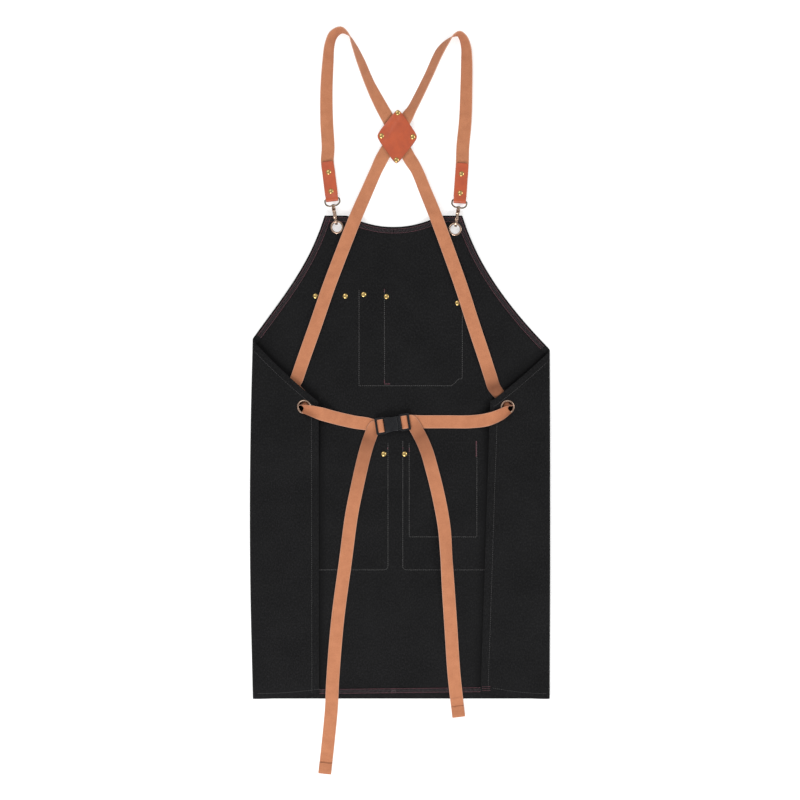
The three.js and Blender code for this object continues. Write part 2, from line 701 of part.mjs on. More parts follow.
function loopMesh(tilt) {
  const half = (LOOP.width - LOOP.wire) / 2;
  const round = -LOOP_BAR_X - LOOP.side;
  const outline = new THREE.Path();
  outline.moveTo(LOOP_BAR_X, 0);
  outline.lineTo(LOOP_BAR_X, half - LOOP.corner);
  outline.quadraticCurveTo(LOOP_BAR_X, half, LOOP_BAR_X + LOOP.corner, half);
  outline.lineTo(-round, half);
  outline.absellipse(-round, 0, round - LOOP.wire / 2, half, Math.PI / 2, -Math.PI / 2, true);
  outline.lineTo(LOOP_BAR_X + LOOP.corner, -half);
  outline.quadraticCurveTo(LOOP_BAR_X, -half, LOOP_BAR_X, LOOP.corner - half);
  outline.lineTo(LOOP_BAR_X, 0);
  const points = outline.getPoints(3).slice(0, -1);
  const sections = points.map((p, i) => {
    const before = points[(i + points.length - 1) % points.length];
    const after = points[(i + 1) % points.length];
    const out = new THREE.Vector2(after.y - before.y, before.x - after.x).normalize();
    return Array.from({ length: WIRE_SIDES }, (unused, k) => {
      const turn = (k / WIRE_SIDES) * 2 * Math.PI;
      const aside = (Math.cos(turn) * LOOP.wire) / 2;
      return new THREE.Vector3(p.x + out.x * aside, p.y + out.y * aside, (Math.sin(turn) * LOOP.wire) / 2);
    });
  });
  const ring = loft(sections, true).rotateY(tilt);
  const boss = alongX(SWIVEL.boss, -LOOP.wire, 0);
  const pinned = alongX(SWIVEL.post, -LOOP.wire, SWIVEL.length);
  return join(ring, boss, pinned);
}

const AXIS_HEIGHT = HOOK.floor + HOOK.height / 2;
const HOOK_REACH = HOOK.length - HOOK.wire - 2 * GAP + BIB_GROMMET.hole;
const LOOP_TILT = Math.asin((AXIS_HEIGHT - TAB.bar) / -LOOP_BAR_X);

// The unit direction from the grommet back towards the shoulder, in plan.
function backward(turn) {
  return new THREE.Vector3(-Math.sin(degToRad(turn)), Math.cos(degToRad(turn)), 0);
}

function clipBase(side) {
  const [x, y] = BIB_GROMMET_AT[side];
  return new THREE.Vector3(x, y, AXIS_HEIGHT).addScaledVector(backward(CLIP_TURN[side]), HOOK_REACH);
}

function barCentre(side) {
  const away = -LOOP_BAR_X * Math.cos(LOOP_TILT);
  return clipBase(side).addScaledVector(backward(CLIP_TURN[side]), away).setZ(TAB.bar);
}

for (const side of ['left', 'right']) {
  const clip = new THREE.Group();
  clip.position.copy(clipBase(side));
  clip.rotation.z = degToRad(CLIP_TURN[side]) - Math.PI / 2;
  group.add(clip);
  addPiece(`swivel_loop_${side}`, loopMesh(-LOOP_TILT), 'bronze', clip);
  addPiece(`snap_hook_${side}`, hookMesh(), 'steel', clip);
  addPiece(`snap_gate_${side}`, gateMesh(), 'steel', clip);
}

// Leather end tabs, folded round the loop's bar and riveted through the webbing between their two
// layers. In a tab's own frame +X runs from the bar towards the shoulder and Z is up.

const TAB_INSIDE = WEB_THICKNESS / 2 + GAP;
const TAB_END_HEIGHT = TAB_INSIDE + LEATHER + 2 * GAP;
const TAB_SLOPE = Math.asin((TAB.bar - TAB_END_HEIGHT) / TAB.length);

function tabOutline() {
  const inside = [[TAB.length, TAB_INSIDE], [3 * TAB.fold, TAB_INSIDE], [TAB.fold, TAB.fold * 0.85]];
  const outside = [[TAB.length, TAB_INSIDE + LEATHER], [3 * TAB.fold, TAB_INSIDE + LEATHER]];
  const turn = (radius) => [60, 100, 140, 180, 220, 260, 300].map((angle) => {
    const a = degToRad(angle);
    return [Math.cos(a) * radius, Math.sin(a) * radius];
  });
  const flip = (points) => points.map(([x, z]) => [x, -z]).reverse();
  const inner = [...inside, ...turn(TAB.fold).slice(1, -1), ...flip(inside)];
  const outer = [...outside, ...turn(TAB.fold + LEATHER), ...flip(outside)];
  return polygon([...inner, ...outer.reverse()]);
}

function tabMesh() {
  const half = TAB.width / 2;
  const folded = new THREE.ExtrudeGeometry(tabOutline(), { depth: TAB.width, bevelEnabled: false })
    .rotateX(Math.PI / 2)
    .translate(0, half, 0);
  const room = TAB.fold + LEATHER + GAP;
  const plan = polygon([
    [-room, -half], [TAB.length - TAB.corner, -half], [TAB.length - TAB.corner / 3, -half + TAB.corner / 3],
    [TAB.length, -half + TAB.corner], [TAB.length, half - TAB.corner],
    [TAB.length - TAB.corner / 3, half - TAB.corner / 3], [TAB.length - TAB.corner, half], [-room, half],
  ]);
  const holes = TAB.rivets.map((x) => post(RIVET_HOLE, -room, room, x));
  return cut(common(folded, plate(plan, -room, 2 * room)), ...holes);
}

function tabFrame(side) {
  const frame = new THREE.Group();
  frame.position.copy(barCentre(side));
  frame.rotation.set(0, TAB_SLOPE, degToRad(TAB_TURN[side]) + Math.PI / 2, 'ZYX');
  frame.updateMatrixWorld();
  return frame;
}

for (const side of ['left', 'right']) {
  const frame = tabFrame(side);
  group.add(frame);
  addPiece(`end_tab_${side}`, tabMesh(), 'leather', frame);
  TAB.rivets.forEach((x, i) => {
    const face = TAB_INSIDE + LEATHER;
    const rivet = rivetMesh(-face - GAP / 3, face + GAP / 3);
    addPiece(`tab_rivet_${side}_${i + 1}`, rivet, 'brass', frame).position.set(x, 0, 0);
  });
}

// The cross patch: two leather diamonds riveted at their corners, with both straps crossing between them

const LOWER_STRAP = LEATHER + GAP + WEB_THICKNESS / 2;
const UPPER_STRAP = LOWER_STRAP + WEB_THICKNESS + GAP;
const PATCH_TOP = UPPER_STRAP + WEB_THICKNESS / 2 + GAP;

function patchPoint(across, along, height) {
  const turned = new THREE.Vector3(across * PATCH.halfWidth, along * PATCH.halfHeight, height);
  turned.applyAxisAngle(new THREE.Vector3(0, 0, 1), degToRad(PATCH.turn));
  return turned.add(new THREE.Vector3(PATCH.x, PATCH.y, 0));
}

const PATCH_CORNERS = [
  { name: 'top', across: 0, along: 1 },
  { name: 'right', across: 1, along: 0 },
  { name: 'bottom', across: 0, along: -1 },
  { name: 'left', across: -1, along: 0 },
];

function diamond(height) {
  const steps = 4;
  const grid = [];
  for (let i = 0; i <= steps; i += 1) {
    grid.push(Array.from({ length: steps + 1 }, (unused, j) => {
      const u = (2 * i) / steps - 1;
      const v = (2 * j) / steps - 1;
      const blunt = 1 - 0.07 * (u * v) ** 8;
      const across = ((v - u) / 2) * blunt;
      const along = ((u + v) / 2) * blunt;
      return patchPoint(across, along, height);
    }));
  }
  return slab(grid, LEATHER);
}

const patchRivets = PATCH_CORNERS.map((corner) => {
  const at = patchPoint(corner.across * PATCH_RIVET.across, corner.along * PATCH_RIVET.along, 0);
  return { name: corner.name, x: at.x, y: at.y };
});
const patchHoles = patchRivets.map(({ x, y }) => post(RIVET_HOLE, 0, PATCH_TOP + 3 * LEATHER, x, y));
const patchFloor = RIVET.back + GAP / 3;
addPiece('cross_patch_bottom', cut(diamond(patchFloor + LEATHER / 2), ...patchHoles), 'leather');
addPiece('cross_patch_top', cut(diamond(patchFloor + PATCH_TOP + LEATHER / 2), ...patchHoles), 'leather');
for (const { name, x, y } of patchRivets) {
  const face = patchFloor + PATCH_TOP + LEATHER;
  const rivet = rivetMesh(patchFloor - GAP / 3, face + GAP / 3);
  addPiece(`patch_rivet_${name}`, rivet, 'brass').position.set(x, y, 0);
}

// The buckle: a socket and a plug, each with a ladder that the webbing is threaded through. In the
// buckle's own frame +X runs along it to the right and Z is up.

const LADDER_END = BUCKLE.half + LADDER.slot + LADDER.bar + LADDER.outerSlot + LADDER.outerBar;
const LADDER_HALF = WEB_WIDTH / 2 + LADDER.play;
const BUCKLE_HEIGHT = PLATEAU + CLOTH + 3 * LAID_GAP + 2 * WEB_THICKNESS + LADDER.thickness / 2;

function ladderMesh(sign) {
  const half = LADDER_HALF + LADDER.rail;
  const span = (from, to) => (sign < 0 ? [-to, -from] : [from, to]);
  const [low, high] = span(BUCKLE.half - SOCKET.wall, LADDER_END);
  const outline = roundedBox(low, high, -half, half, LADDER.corner);
  const frame = plate(outline, -LADDER.thickness / 2, LADDER.thickness);
  const inner = BUCKLE.half + LADDER.slot;
  const outer = inner + LADDER.bar;
  const through = [-BUCKLE.thickness, BUCKLE.thickness];
  const width = [-LADDER_HALF, LADDER_HALF];
  const slots = [span(BUCKLE.half, inner), span(outer, outer + LADDER.outerSlot)];
  return cut(frame, ...slots.map((x) => block(x, width, through)));
}

function barrelPlate(from, to, inset, thickness) {
  const half = BUCKLE.width / 2 - inset;
  return plate(roundedBox(from, to, -half, half, SOCKET.corner), -thickness / 2, thickness);
}

function socketMesh() {
  const shell = barrelPlate(-BUCKLE.half, SOCKET.seam, 0, BUCKLE.thickness);
  const { wall } = SOCKET;
  const height = BUCKLE.thickness / 2 - wall;
  const inner = BUCKLE.width / 2 - wall;
  const room = block([-BUCKLE.half + wall, BUCKLE.half], [-inner, inner], [-height, height]);
  const window = [SOCKET.seam - SOCKET.window - wall, SOCKET.seam - wall];
  const sides = block(window, [-BUCKLE.width, BUCKLE.width], [-height, height]);
  return join(cut(shell, room, sides), cut(ladderMesh(-1), room));
}

function plugMesh() {
  const collar = barrelPlate(SOCKET.seam + GAP, BUCKLE.half, SOCKET.inset, BUCKLE.thickness - SOCKET.inset);
  const height = BUCKLE.thickness / 2 - SOCKET.wall - GAP;
  const inner = BUCKLE.width / 2 - SOCKET.wall - 2 * GAP;
  const reach = SOCKET.seam - SOCKET.window - SOCKET.wall + SOCKET.barb;
  const root = SOCKET.seam + SOCKET.wall;
  const prongs = [-1, 1].map((sign) => plate(polygon([
    [root, sign * (inner - SOCKET.prong)],
    [root, sign * inner],
    [reach + SOCKET.prong, sign * inner],
    [reach + SOCKET.barb, sign * (inner + SOCKET.wall)],
    [reach, sign * (inner - SOCKET.barb)],
    [reach, sign * (inner - SOCKET.prong)],
  ]), -height, 2 * height));
  const guide = block([reach, root], [-SOCKET.guide / 2, SOCKET.guide / 2], [-height, height]);
  return join(collar, ladderMesh(1), ...prongs, guide);
}

const buckle = new THREE.Group();
buckle.position.set(BUCKLE.x, BUCKLE.y, BUCKLE_HEIGHT);
buckle.rotation.z = degToRad(BUCKLE.turn);
group.add(buckle);
buckle.updateMatrixWorld();
addPiece('buckle_socket', socketMesh(), 'plastic', buckle);
addPiece('buckle_plug', plugMesh(), 'plastic', buckle);

// The straps. A station has its middle point, its width and the unit vector across it.

function acrossOf(before, after, roll) {
  const heading = after.clone().sub(before).setZ(0).normalize();
  const aside = new THREE.Vector3(heading.y, -heading.x, 0);
  const turned = degToRad(roll);
  return aside.multiplyScalar(Math.cos(turned)).add(new THREE.Vector3(0, 0, Math.sin(turned)));
}

function restHeight(roll) {
  const turned = degToRad(roll);
  return (WEB_WIDTH * Math.abs(Math.sin(turned)) + WEB_THICKNESS * Math.abs(Math.cos(turned))) / 2;
}

// The height of a strap's middle where it lies on the cloth, and from the cloth's edge down to the
// surface below.
function laidHeight(x, y, roll = 0, lift = LAID_GAP) {
  const reach = WEB_WIDTH / 2;
  const spots = [[0, 0], [reach, 0], [-reach, 0], [0, reach], [0, -reach]];
  const top = Math.max(...spots.map(([dx, dy]) => mainTop(x + dx, y + dy))) + lift;
  const beyond = Math.max(y - topEdge(Math.abs(x)), -HEIGHT - y);
  return Math.max(top * near(beyond, FALL.start, FALL.end), GAP) + restHeight(roll);
}

function station(x, y, z, roll = 0, width = WEB_WIDTH, across = null) {
  return { at: new THREE.Vector3(x, y, z), roll, width, across };
}

function tabStations(side) {
  const frame = tabFrame(side);
  return [2.6 * TAB.fold, TAB.length * 0.3, TAB.length * 0.65, TAB.length].map((x) => {
    const at = new THREE.Vector3(x, 0, 0).applyMatrix4(frame.matrixWorld);
    return station(at.x, at.y, at.z);
  });
}

function shoulderStations(side) {
  const sign = SIDES[side];
  return SHOULDER[side].map(({ out, up, roll }) => {
    const x = PATCH.x + sign * out * HARNESS.half;
    const y = PATCH.y + up * HARNESS.rise;
    return station(x, y, restHeight(roll) + LAID_GAP, -sign * roll);
  });
}

// The legs leave the patch on the other side from the shoulder that they came from.
function legStations(side) {
  const sign = SIDES[side];
  return LEG_ROUTE.map(({ down, out }) => {
    const x = PATCH.x + sign * out * LEG[side];
    const y = PATCH.y - down * LEG.run;
    const under = y < WAIST_GROMMET_AT[side][1] + STRAP_ZONE.full * 1.5;
    return station(x, y, laidHeight(x, y, 0, under ? LEG_LIFT.under : LEG_LIFT.free), 180);
  });
}

// Up through the waist grommet, narrowed and curled to fit its hole, and back over the panel. The strap
// turns about a line half-way between its two directions.
const HOLE_LINE = { along: new THREE.Vector3(-0.465, -0.885, 0), out: new THREE.Vector3(0.885, -0.465, 0) };

// How it is threaded: outward and along in hole radii, which layer of the grommet it is at, millimetres above
// that, and the share of its width that it is curled to.
const GROMMET_THREAD = [
  { out: -0.95, along: -0.75, layer: -1, up: -0.4, width: 0.8 },
  { out: -0.15, along: -0.1, layer: -1, up: -0.1, width: 0.58 },
  { out: 0.2, along: 0, layer: 0, up: 0, width: 0.56 },
  { out: 0, along: 0.1, layer: 1, up: 0.1, width: 0.58 },
];
const GROMMET_EXIT = {
  left: { out: -1.05, along: 1.5, layer: 1, up: 0.5, width: 0.85 },
  right: { out: -0.4, along: 1.7, layer: 1, up: 0.5, width: 0.85 },
};

function grommetStations(side) {
  const sign = SIDES[side];
  const mirror = new THREE.Vector3(sign, 1, 1);
  const along = HOLE_LINE.along.clone().multiply(mirror);
  const out = HOLE_LINE.out.clone().multiply(mirror);
  const middle = waistGrommetHeight(side);
  const away = CLOTH / 2 + GAP + FLANGE + LAID_GAP + WEB_THICKNESS / 2;
  const rows = [...GROMMET_THREAD, GROMMET_EXIT[side]];
  return rows.map((row, i) => {
    const at = new THREE.Vector3(...WAIST_GROMMET_AT[side], middle + row.layer * away + row.up);
    at.addScaledVector(out, row.out * WAIST_GROMMET.hole);
    at.addScaledVector(along, row.along * WAIST_GROMMET.hole);
    const inHole = i > 0 && i < rows.length - 1;
    const across = inHole ? along.clone().multiplyScalar(-sign) : null;
    return station(at.x, at.y, at.z, i === 0 ? 180 : 0, WEB_WIDTH * row.width, across);
  });
}

const BUCKLE_TO_WORLD = buckle.matrixWorld;

function buckleStation(sign, x, z) {
  const at = new THREE.Vector3(sign * x, 0, z).applyMatrix4(BUCKLE_TO_WORLD);
  const across = new THREE.Vector3(0, sign, 0).transformDirection(BUCKLE_TO_WORLD);
  return station(at.x, at.y, at.z, 0, WEB_WIDTH, across);
}

// From the panel's edge to the buckle, under both bars, up and over the inner one, and out below the
// outer one.
const BUCKLE_THREAD = [
  { spot: 'end', aside: -2, level: 'under', up: 0 },
  { spot: 'bar', aside: 0, level: 'under', up: 0.1 },
  { spot: 'innerSlot', aside: 0.9, level: 'under', up: 1.1 },
  { spot: 'innerSlot', aside: 0, level: 'tail', up: 1.2 },
  { spot: 'innerSlot', aside: 0, level: 'middle', up: 0.8 },
  { spot: 'innerSlot', aside: 0.7, level: 'over', up: -0.4 },
  { spot: 'bar', aside: 0, level: 'over', up: 0.3 },
  { spot: 'outerSlot', aside: -0.7, level: 'over', up: -0.4 },
  { spot: 'outerSlot', aside: 0, level: 'middle', up: 0.8 },
  { spot: 'outerSlot', aside: 0.4, level: 'tail', up: 1 },
  { spot: 'outerSlot', aside: 1.8, level: 'tail', up: 0.15 },
  { spot: 'end', aside: 1, level: 'tail', up: 0 },
];

function buckleStations(side) {
  const over = LADDER.thickness / 2 + LAID_GAP + WEB_THICKNESS / 2;
  const levels = { middle: 0, over, tail: -over, under: -over - LAID_GAP - WEB_THICKNESS };
  const spots = {
    innerSlot: BUCKLE.half + LADDER.slot / 2,
    bar: BUCKLE.half + LADDER.slot + LADDER.bar / 2,
    outerSlot: BUCKLE.half + LADDER.slot + LADDER.bar + LADDER.outerSlot / 2,
    end: LADDER_END,
  };
  return BUCKLE_THREAD.map(({ spot, aside, level, up }) => (
    buckleStation(SIDES[side], spots[spot] + aside, levels[level] + up)
  ));
}

// Over the panel's edge and along the waist, with how far the strap sags from a straight line.
const WAIST_SAG = {
  left: { edge: -3.6, laid: -3.8, rest: [{ share: 0.7, sag: -2.4 }, { share: 0.87, sag: 0 }] },
  right: { edge: -15, laid: -14.7, rest: [{ share: 0.64, sag: -8.6 }, { share: 0.865, sag: -3.5 }] },
};
const EDGE_STEP = { over: 5, down: 30 };

function waistStations(side) {
  const sign = SIDES[side];
  const [gx, gy] = WAIST_GROMMET_AT[side];
  const end = buckleStation(sign, LADDER_END - 2, 0).at;
  const edge = sign * panelEdge(side, gy);
  const { edge: edgeSag, laid, rest } = WAIST_SAG[side];
  const shareAt = (x) => (x - gx) / (end.x - gx);
  const rows = [
    { share: shareAt(edge - sign * EDGE_STEP.over), sag: edgeSag, onPanel: true },
    { share: shareAt(edge - sign * EDGE_STEP.down), sag: laid, onPanel: false },
    ...rest,
  ];
  return rows.map(({ share, sag, onPanel }) => {
    const x = lerp(gx, end.x, share);
    const y = lerp(gy, end.y, share) + sag;
    const panelTop = panelMiddle(side, x, y) + CLOTH / 2 + LAID_GAP + WEB_THICKNESS / 2;
    return station(x, y, onPanel ? panelTop : laidHeight(x, y));
  });
}

function tailStations(side) {
  const sign = SIDES[side];
  const from = buckleStation(sign, LADDER_END, 0).at;
  const { drop, spread } = TAIL[side];
  return TAIL_ROUTE[side].map(({ down, out, roll }, i) => {
    const x = from.x + sign * out * spread;
    const y = from.y - down * drop;
    const over = i === 0 ? WEB_THICKNESS + LAID_GAP : 0;
    return station(x, y, laidHeight(x, y, roll) + over, 180 + roll);
  });
}

// A strip of webbing through its stations: each is given its direction, then the run between two is
// divided by its length and by how far it turns.
function webbingMesh(stations) {
  const count = stations.length;
  const frames = stations.map((here, i) => {
    const before = stations[Math.max(i - 1, 0)].at;
    const after = stations[Math.min(i + 1, count - 1)].at;
    const across = here.across ?? acrossOf(before, after, here.roll);
    return { ...here, across, heading: after.clone().sub(before).normalize() };
  });
  const line = new THREE.CatmullRomCurve3(stations.map(({ at }) => at));
  const sections = [];
  for (let i = 0; i < count - 1; i += 1) {
    const [a, b] = [frames[i], frames[i + 1]];
    const turn = radToDeg(Math.max(a.heading.angleTo(b.heading), a.across.angleTo(b.across)));
    const steps = Math.min(4, Math.max(1, Math.ceil(a.at.distanceTo(b.at) / 70), Math.ceil(turn / 20)));
    const last = i === count - 2 ? steps : steps - 1;
    for (let k = 0; k <= last; k += 1) {
      const share = k / steps;
      const t = (i + share) / (count - 1);
      const heading = line.getTangent(t);
      const across = a.across.clone().lerp(b.across, share);
      across.addScaledVector(heading, -across.dot(heading)).normalize();
      const rise = across.clone().cross(heading).setLength(WEB_THICKNESS / 2);
      across.setLength(lerp(a.width, b.width, share) / 2);
      const middle = line.getPoint(t);
      sections.push([[1, 1], [-1, 1], [-1, -1], [1, -1]].map(([aside, up]) => middle.clone()
        .addScaledVector(across, aside)
        .addScaledVector(rise, up)));
    }
  }
  return loft(sections);
}

// Through the patch, level between its two leathers, where each strap's shoulder part meets its leg part
const CROSSING = { left: { angle: 28.4, shift: 1 }, right: { angle: 31.3, shift: -3.3 } };
const CROSSING_SPOTS = { shoulder: [35, 15, GAP / 2], leg: [-GAP / 2, -16, -38] };

function crossingStations(side, part) {
  const { angle, shift } = CROSSING[side];
  const z = patchFloor + (side === 'left' ? LOWER_STRAP : UPPER_STRAP);
  return CROSSING_SPOTS[part].map((spot) => {
    const x = PATCH.x + shift + SIDES[side] * Math.sin(degToRad(angle)) * spot;
    return station(x, PATCH.y + Math.cos(degToRad(angle)) * spot, z, 180);
  });
}

// The leg part ends on its straight stretch under the folded panel, and the waist part begins there.
const LEG_SHARE = 0.7;

function partingStations(from, to) {
  const middle = from.at.clone().lerp(to.at, LEG_SHARE);
  const half = to.at.clone().sub(from.at).setLength(GAP / 2);
  const width = lerp(from.width, to.width, LEG_SHARE);
  const ends = [middle.clone().sub(half), middle.clone().add(half)];
  return ends.map(({ x, y, z }) => station(x, y, z, 180, width));
}

const OTHER = { left: 'right', right: 'left' };
for (const side of ['left', 'right']) {
  const frame = tabFrame(side);
  const drills = TAB.rivets.map((x) => post(RIVET_HOLE, -TAB.width, TAB.width, x));
  const holes = drills.map((drill) => drill.applyMatrix4(frame.matrixWorld));
  const shoulder = [...tabStations(side), ...shoulderStations(side), ...crossingStations(side, 'shoulder')];
  addPiece(`shoulder_strap_${side}`, cut(webbingMesh(shoulder), ...holes), 'webbing');
  const leg = legStations(side);
  const threaded = grommetStations(side);
  const [legEnd, waistStart] = partingStations(leg.at(-1), threaded[0]);
  const legParts = [...crossingStations(OTHER[side], 'leg'), ...leg, legEnd];
  addPiece(`leg_strap_${side}`, webbingMesh(legParts), 'webbing');
  const waist = [
    waistStart,
    ...threaded,
    ...waistStations(side),
    ...buckleStations(side),
    ...tailStations(side),
  ];
  addPiece(`waist_strap_${side}`, webbingMesh(waist), 'webbing');
}

// The origin: the middle of the whole apron's footprint, on the surface that it lies on
const box = new THREE.Box3().setFromObject(group, true);
const centre = box.getCenter(new THREE.Vector3());
group.position.set(-centre.x, -centre.y, -box.min.z);

export default group;
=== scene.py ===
"""A work apron with cross-back straps, laid down with its back up and both sides folded in over the middle.

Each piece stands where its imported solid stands. The classes hold their sizes in millimetres. Places are measured
from the cloth's middle line, from the bib's top edge and from the surface that the apron lies on.
"""

import logging
import math
from contextlib import contextmanager
from dataclasses import dataclass, field
from enum import Enum
from typing import Callable, Iterable, Iterator, Sequence

import bpy
import numpy as np
from mathutils import Matrix, Vector

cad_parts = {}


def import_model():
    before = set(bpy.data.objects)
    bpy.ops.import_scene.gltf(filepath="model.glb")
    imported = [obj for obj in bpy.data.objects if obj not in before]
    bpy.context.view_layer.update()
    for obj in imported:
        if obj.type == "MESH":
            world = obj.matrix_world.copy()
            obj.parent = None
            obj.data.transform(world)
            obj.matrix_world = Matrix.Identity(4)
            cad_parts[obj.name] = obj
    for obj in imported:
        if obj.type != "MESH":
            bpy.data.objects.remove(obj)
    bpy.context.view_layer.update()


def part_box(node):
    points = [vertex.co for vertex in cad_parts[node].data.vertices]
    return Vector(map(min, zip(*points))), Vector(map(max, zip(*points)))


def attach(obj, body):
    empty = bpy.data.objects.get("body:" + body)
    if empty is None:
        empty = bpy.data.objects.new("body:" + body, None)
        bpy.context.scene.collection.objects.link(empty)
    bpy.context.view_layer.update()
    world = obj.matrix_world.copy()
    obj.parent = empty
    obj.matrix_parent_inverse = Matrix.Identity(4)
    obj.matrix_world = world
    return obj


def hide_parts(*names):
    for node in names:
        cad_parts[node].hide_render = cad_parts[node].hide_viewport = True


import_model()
log = logging.getLogger("work_apron")

MM = 0.001
UP = np.array([0.0, 0.0, 1.0])
SETTLING_STEPS = 8
Points = np.ndarray
Pairs = Sequence[tuple[float, float]]
Threads = list[tuple[Points, Points, Points]]
Socket = bpy.types.NodeSocket
Value = float | tuple | Socket


class Side(Enum):
    """The apron's left or right half, as the picture shows it."""

    LEFT = -1
    RIGHT = 1

    @property
    def word(self) -> str:
        """The side's name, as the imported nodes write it."""
        return self.name.lower()

    @property
    def other(self) -> "Side":
        """The opposite side."""
        return Side(-self.value)


def sides(left: object, right: object) -> dict:
    """A dataclass field that holds one value for the left side and one for the right."""
    return field(default_factory=lambda: {Side.LEFT: left, Side.RIGHT: right})


@dataclass(frozen=True)
class Phone:
    """The phone pocket, the lowest layer, whose corner gives the cloth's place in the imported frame."""

    left: float = 23
    width: float = 110
    top: float = -355
    bottom: float = -507


PHONE = Phone()
SHIFT = np.array(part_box("phone_pocket")[0]) / MM - np.array([PHONE.left, PHONE.bottom, 0])


def world(points: Points) -> Points:
    """Takes points from the cloth's own millimetres to the frame's metres."""
    return (np.asarray(points, float) + SHIFT) * MM


def near(distance: Points, full: float, none: float) -> Points:
    """Falls smoothly from one to zero.

    Args:
        distance: How far away each point is.
        full: Up to this distance the result is one.
        none: From this distance on the result is zero.

    Returns:
        The share at each point.
    """
    share = np.clip((np.asarray(distance, float) - full) / (none - full), 0, 1)
    return 1 - share * share * (3 - 2 * share)


# Modelling by hand, one operator after another


def deselect() -> None:
    """Leaves edit mode and lets go of everything."""
    if bpy.context.object and bpy.context.object.mode != "OBJECT":
        bpy.ops.object.mode_set(mode="OBJECT")
    bpy.ops.object.select_all(action="DESELECT")


def take(piece: bpy.types.Object) -> None:
    """Selects one piece alone and makes it the active one."""
    deselect()
    piece.select_set(True)
    bpy.context.view_layer.objects.active = piece


@contextmanager
def editing() -> Iterator[None]:
    """Opens the active piece in edit mode and leaves it again."""
    bpy.ops.object.mode_set(mode="EDIT")
    yield
    bpy.ops.object.mode_set(mode="OBJECT")


def added(name: str) -> bpy.types.Object:
    """Names the primitive that was just added, and its mesh."""
    piece = bpy.context.object
    piece.name = piece.data.name = name
    return piece


def tidy_faces(piece: bpy.types.Object, merge: float = 1e-7) -> None:
    """Merges doubled vertices and turns every face outwards."""
    take(piece)
    with editing():
        bpy.ops.mesh.select_all(action="SELECT")
        bpy.ops.mesh.remove_doubles(threshold=merge)
        bpy.ops.mesh.normals_make_consistent(inside=False)


def modify(piece: bpy.types.Object, kind: str, **settings: object) -> None:
    """Adds one modifier, sets it and applies it.

    Args:
        piece: The object to change.
        kind: The modifier's type.
        **settings: Its values by name.
    """
    take(piece)
    modifier = piece.modifiers.new(kind.lower(), kind)
    for key, value in settings.items():
        setattr(modifier, key, value)
    bpy.ops.object.modifier_apply(modifier=modifier.name)


def soften(piece: bpy.types.Object, width: float, segments: int = 2, angle: float = 35) -> None:
    """Rounds every edge that is sharper than an angle, by a width in millimetres."""
    modify(piece, "BEVEL", width=width * MM, segments=segments, limit_method="ANGLE",
           angle_limit=math.radians(angle), harden_normals=False)


def smooth(piece: bpy.types.Object, angle: float = 40) -> None:
    """Shades a piece smoothly, apart from its sharp edges."""
    take(piece)
    bpy.ops.object.shade_smooth_by_angle(angle=math.radians(angle), keep_sharp_edges=False)


def settle(piece: bpy.types.Object, matrix: Matrix) -> bpy.types.Object:
    """Moves a piece to its place and puts that place into its mesh."""
    take(piece)
    piece.matrix_world = matrix
    bpy.ops.object.transform_apply(location=True, rotation=True, scale=True)
    return piece


def plate(name: str, outline: Pairs, low: float, high: float) -> bpy.types.Object:
    """Cuts a flat plate to a drawn outline: a ring of vertices is set on it, filled and extruded.

    Args:
        name: The piece's name.
        outline: The outline's points in order, in millimetres.
        low: The height of its underside.
        high: The height of its top.

    Returns:
        The plate.
    """
    deselect()
    bpy.ops.mesh.primitive_circle_add(vertices=len(outline), radius=1, fill_type="NGON")
    piece = added(name)
    for vertex, (x, y) in zip(piece.data.vertices, outline):
        vertex.co = (x * MM, y * MM, low * MM)
    with editing():
        bpy.ops.mesh.select_all(action="SELECT")
        bpy.ops.mesh.extrude_region_move(TRANSFORM_OT_translate={"value": (0, 0, (high - low) * MM)})
    tidy_faces(piece)
    return piece


def spun(name: str, profile: Pairs, sides: int, closed: bool = False) -> bpy.types.Object:
    """Turns a profile once round the upright axis.

    Args:
        name: The piece's name.
        profile: Radius and height of each of its points, in millimetres.
        sides: The steps of the turn.
        closed: Whether the profile's last point is joined to its first.

    Returns:
        The turned piece, centred on the axis.
    """
    deselect()
    bpy.ops.mesh.primitive_circle_add(vertices=len(profile), radius=1, fill_type="NOTHING")
    piece = added(name)
    for vertex, (radius, height) in zip(piece.data.vertices, profile):
        vertex.co = (radius * MM, 0, height * MM)
    if not closed:
        with editing():
            bpy.ops.mesh.select_all(action="DESELECT")
        ends = {0, len(profile) - 1}
        for edge in piece.data.edges:
            edge.select = set(edge.vertices) == ends
        with editing():
            bpy.ops.mesh.select_mode(type="EDGE")
            bpy.ops.mesh.delete(type="EDGE_FACE")
    with editing():
        bpy.ops.mesh.select_all(action="SELECT")
        bpy.ops.mesh.spin(steps=sides, angle=math.tau, center=(0, 0, 0), axis=(0, 0, 1))
    tidy_faces(piece)
    return piece


def wire(name: str, points: Iterable[Sequence[float]], radius: float, closed: bool = False) -> bpy.types.Object:
    """Bends a round wire along a line of points and makes it a mesh.

    Args:
        name: The piece's name.
        points: The line's points, in millimetres.
        radius: The wire's radius.
        closed: Whether the wire closes into a ring.

    Returns:
        The wire.
    """
    deselect()
    bpy.ops.curve.primitive_nurbs_path_add()
    piece = added(name)
    curve = piece.data
    curve.splines.clear()
    line = curve.splines.new("POLY")
    points = [tuple(p) for p in points]
    line.points.add(len(points) - 1)
    for point, at in zip(line.points, points):
        point.co = (*(c * MM for c in at), 1)
    line.use_cyclic_u = closed
    curve.bevel_depth = radius * MM
    curve.bevel_resolution = 4
    curve.use_fill_caps = not closed
    bpy.ops.object.convert(target="MESH")
    piece = added(name)
    tidy_faces(piece)
    return piece


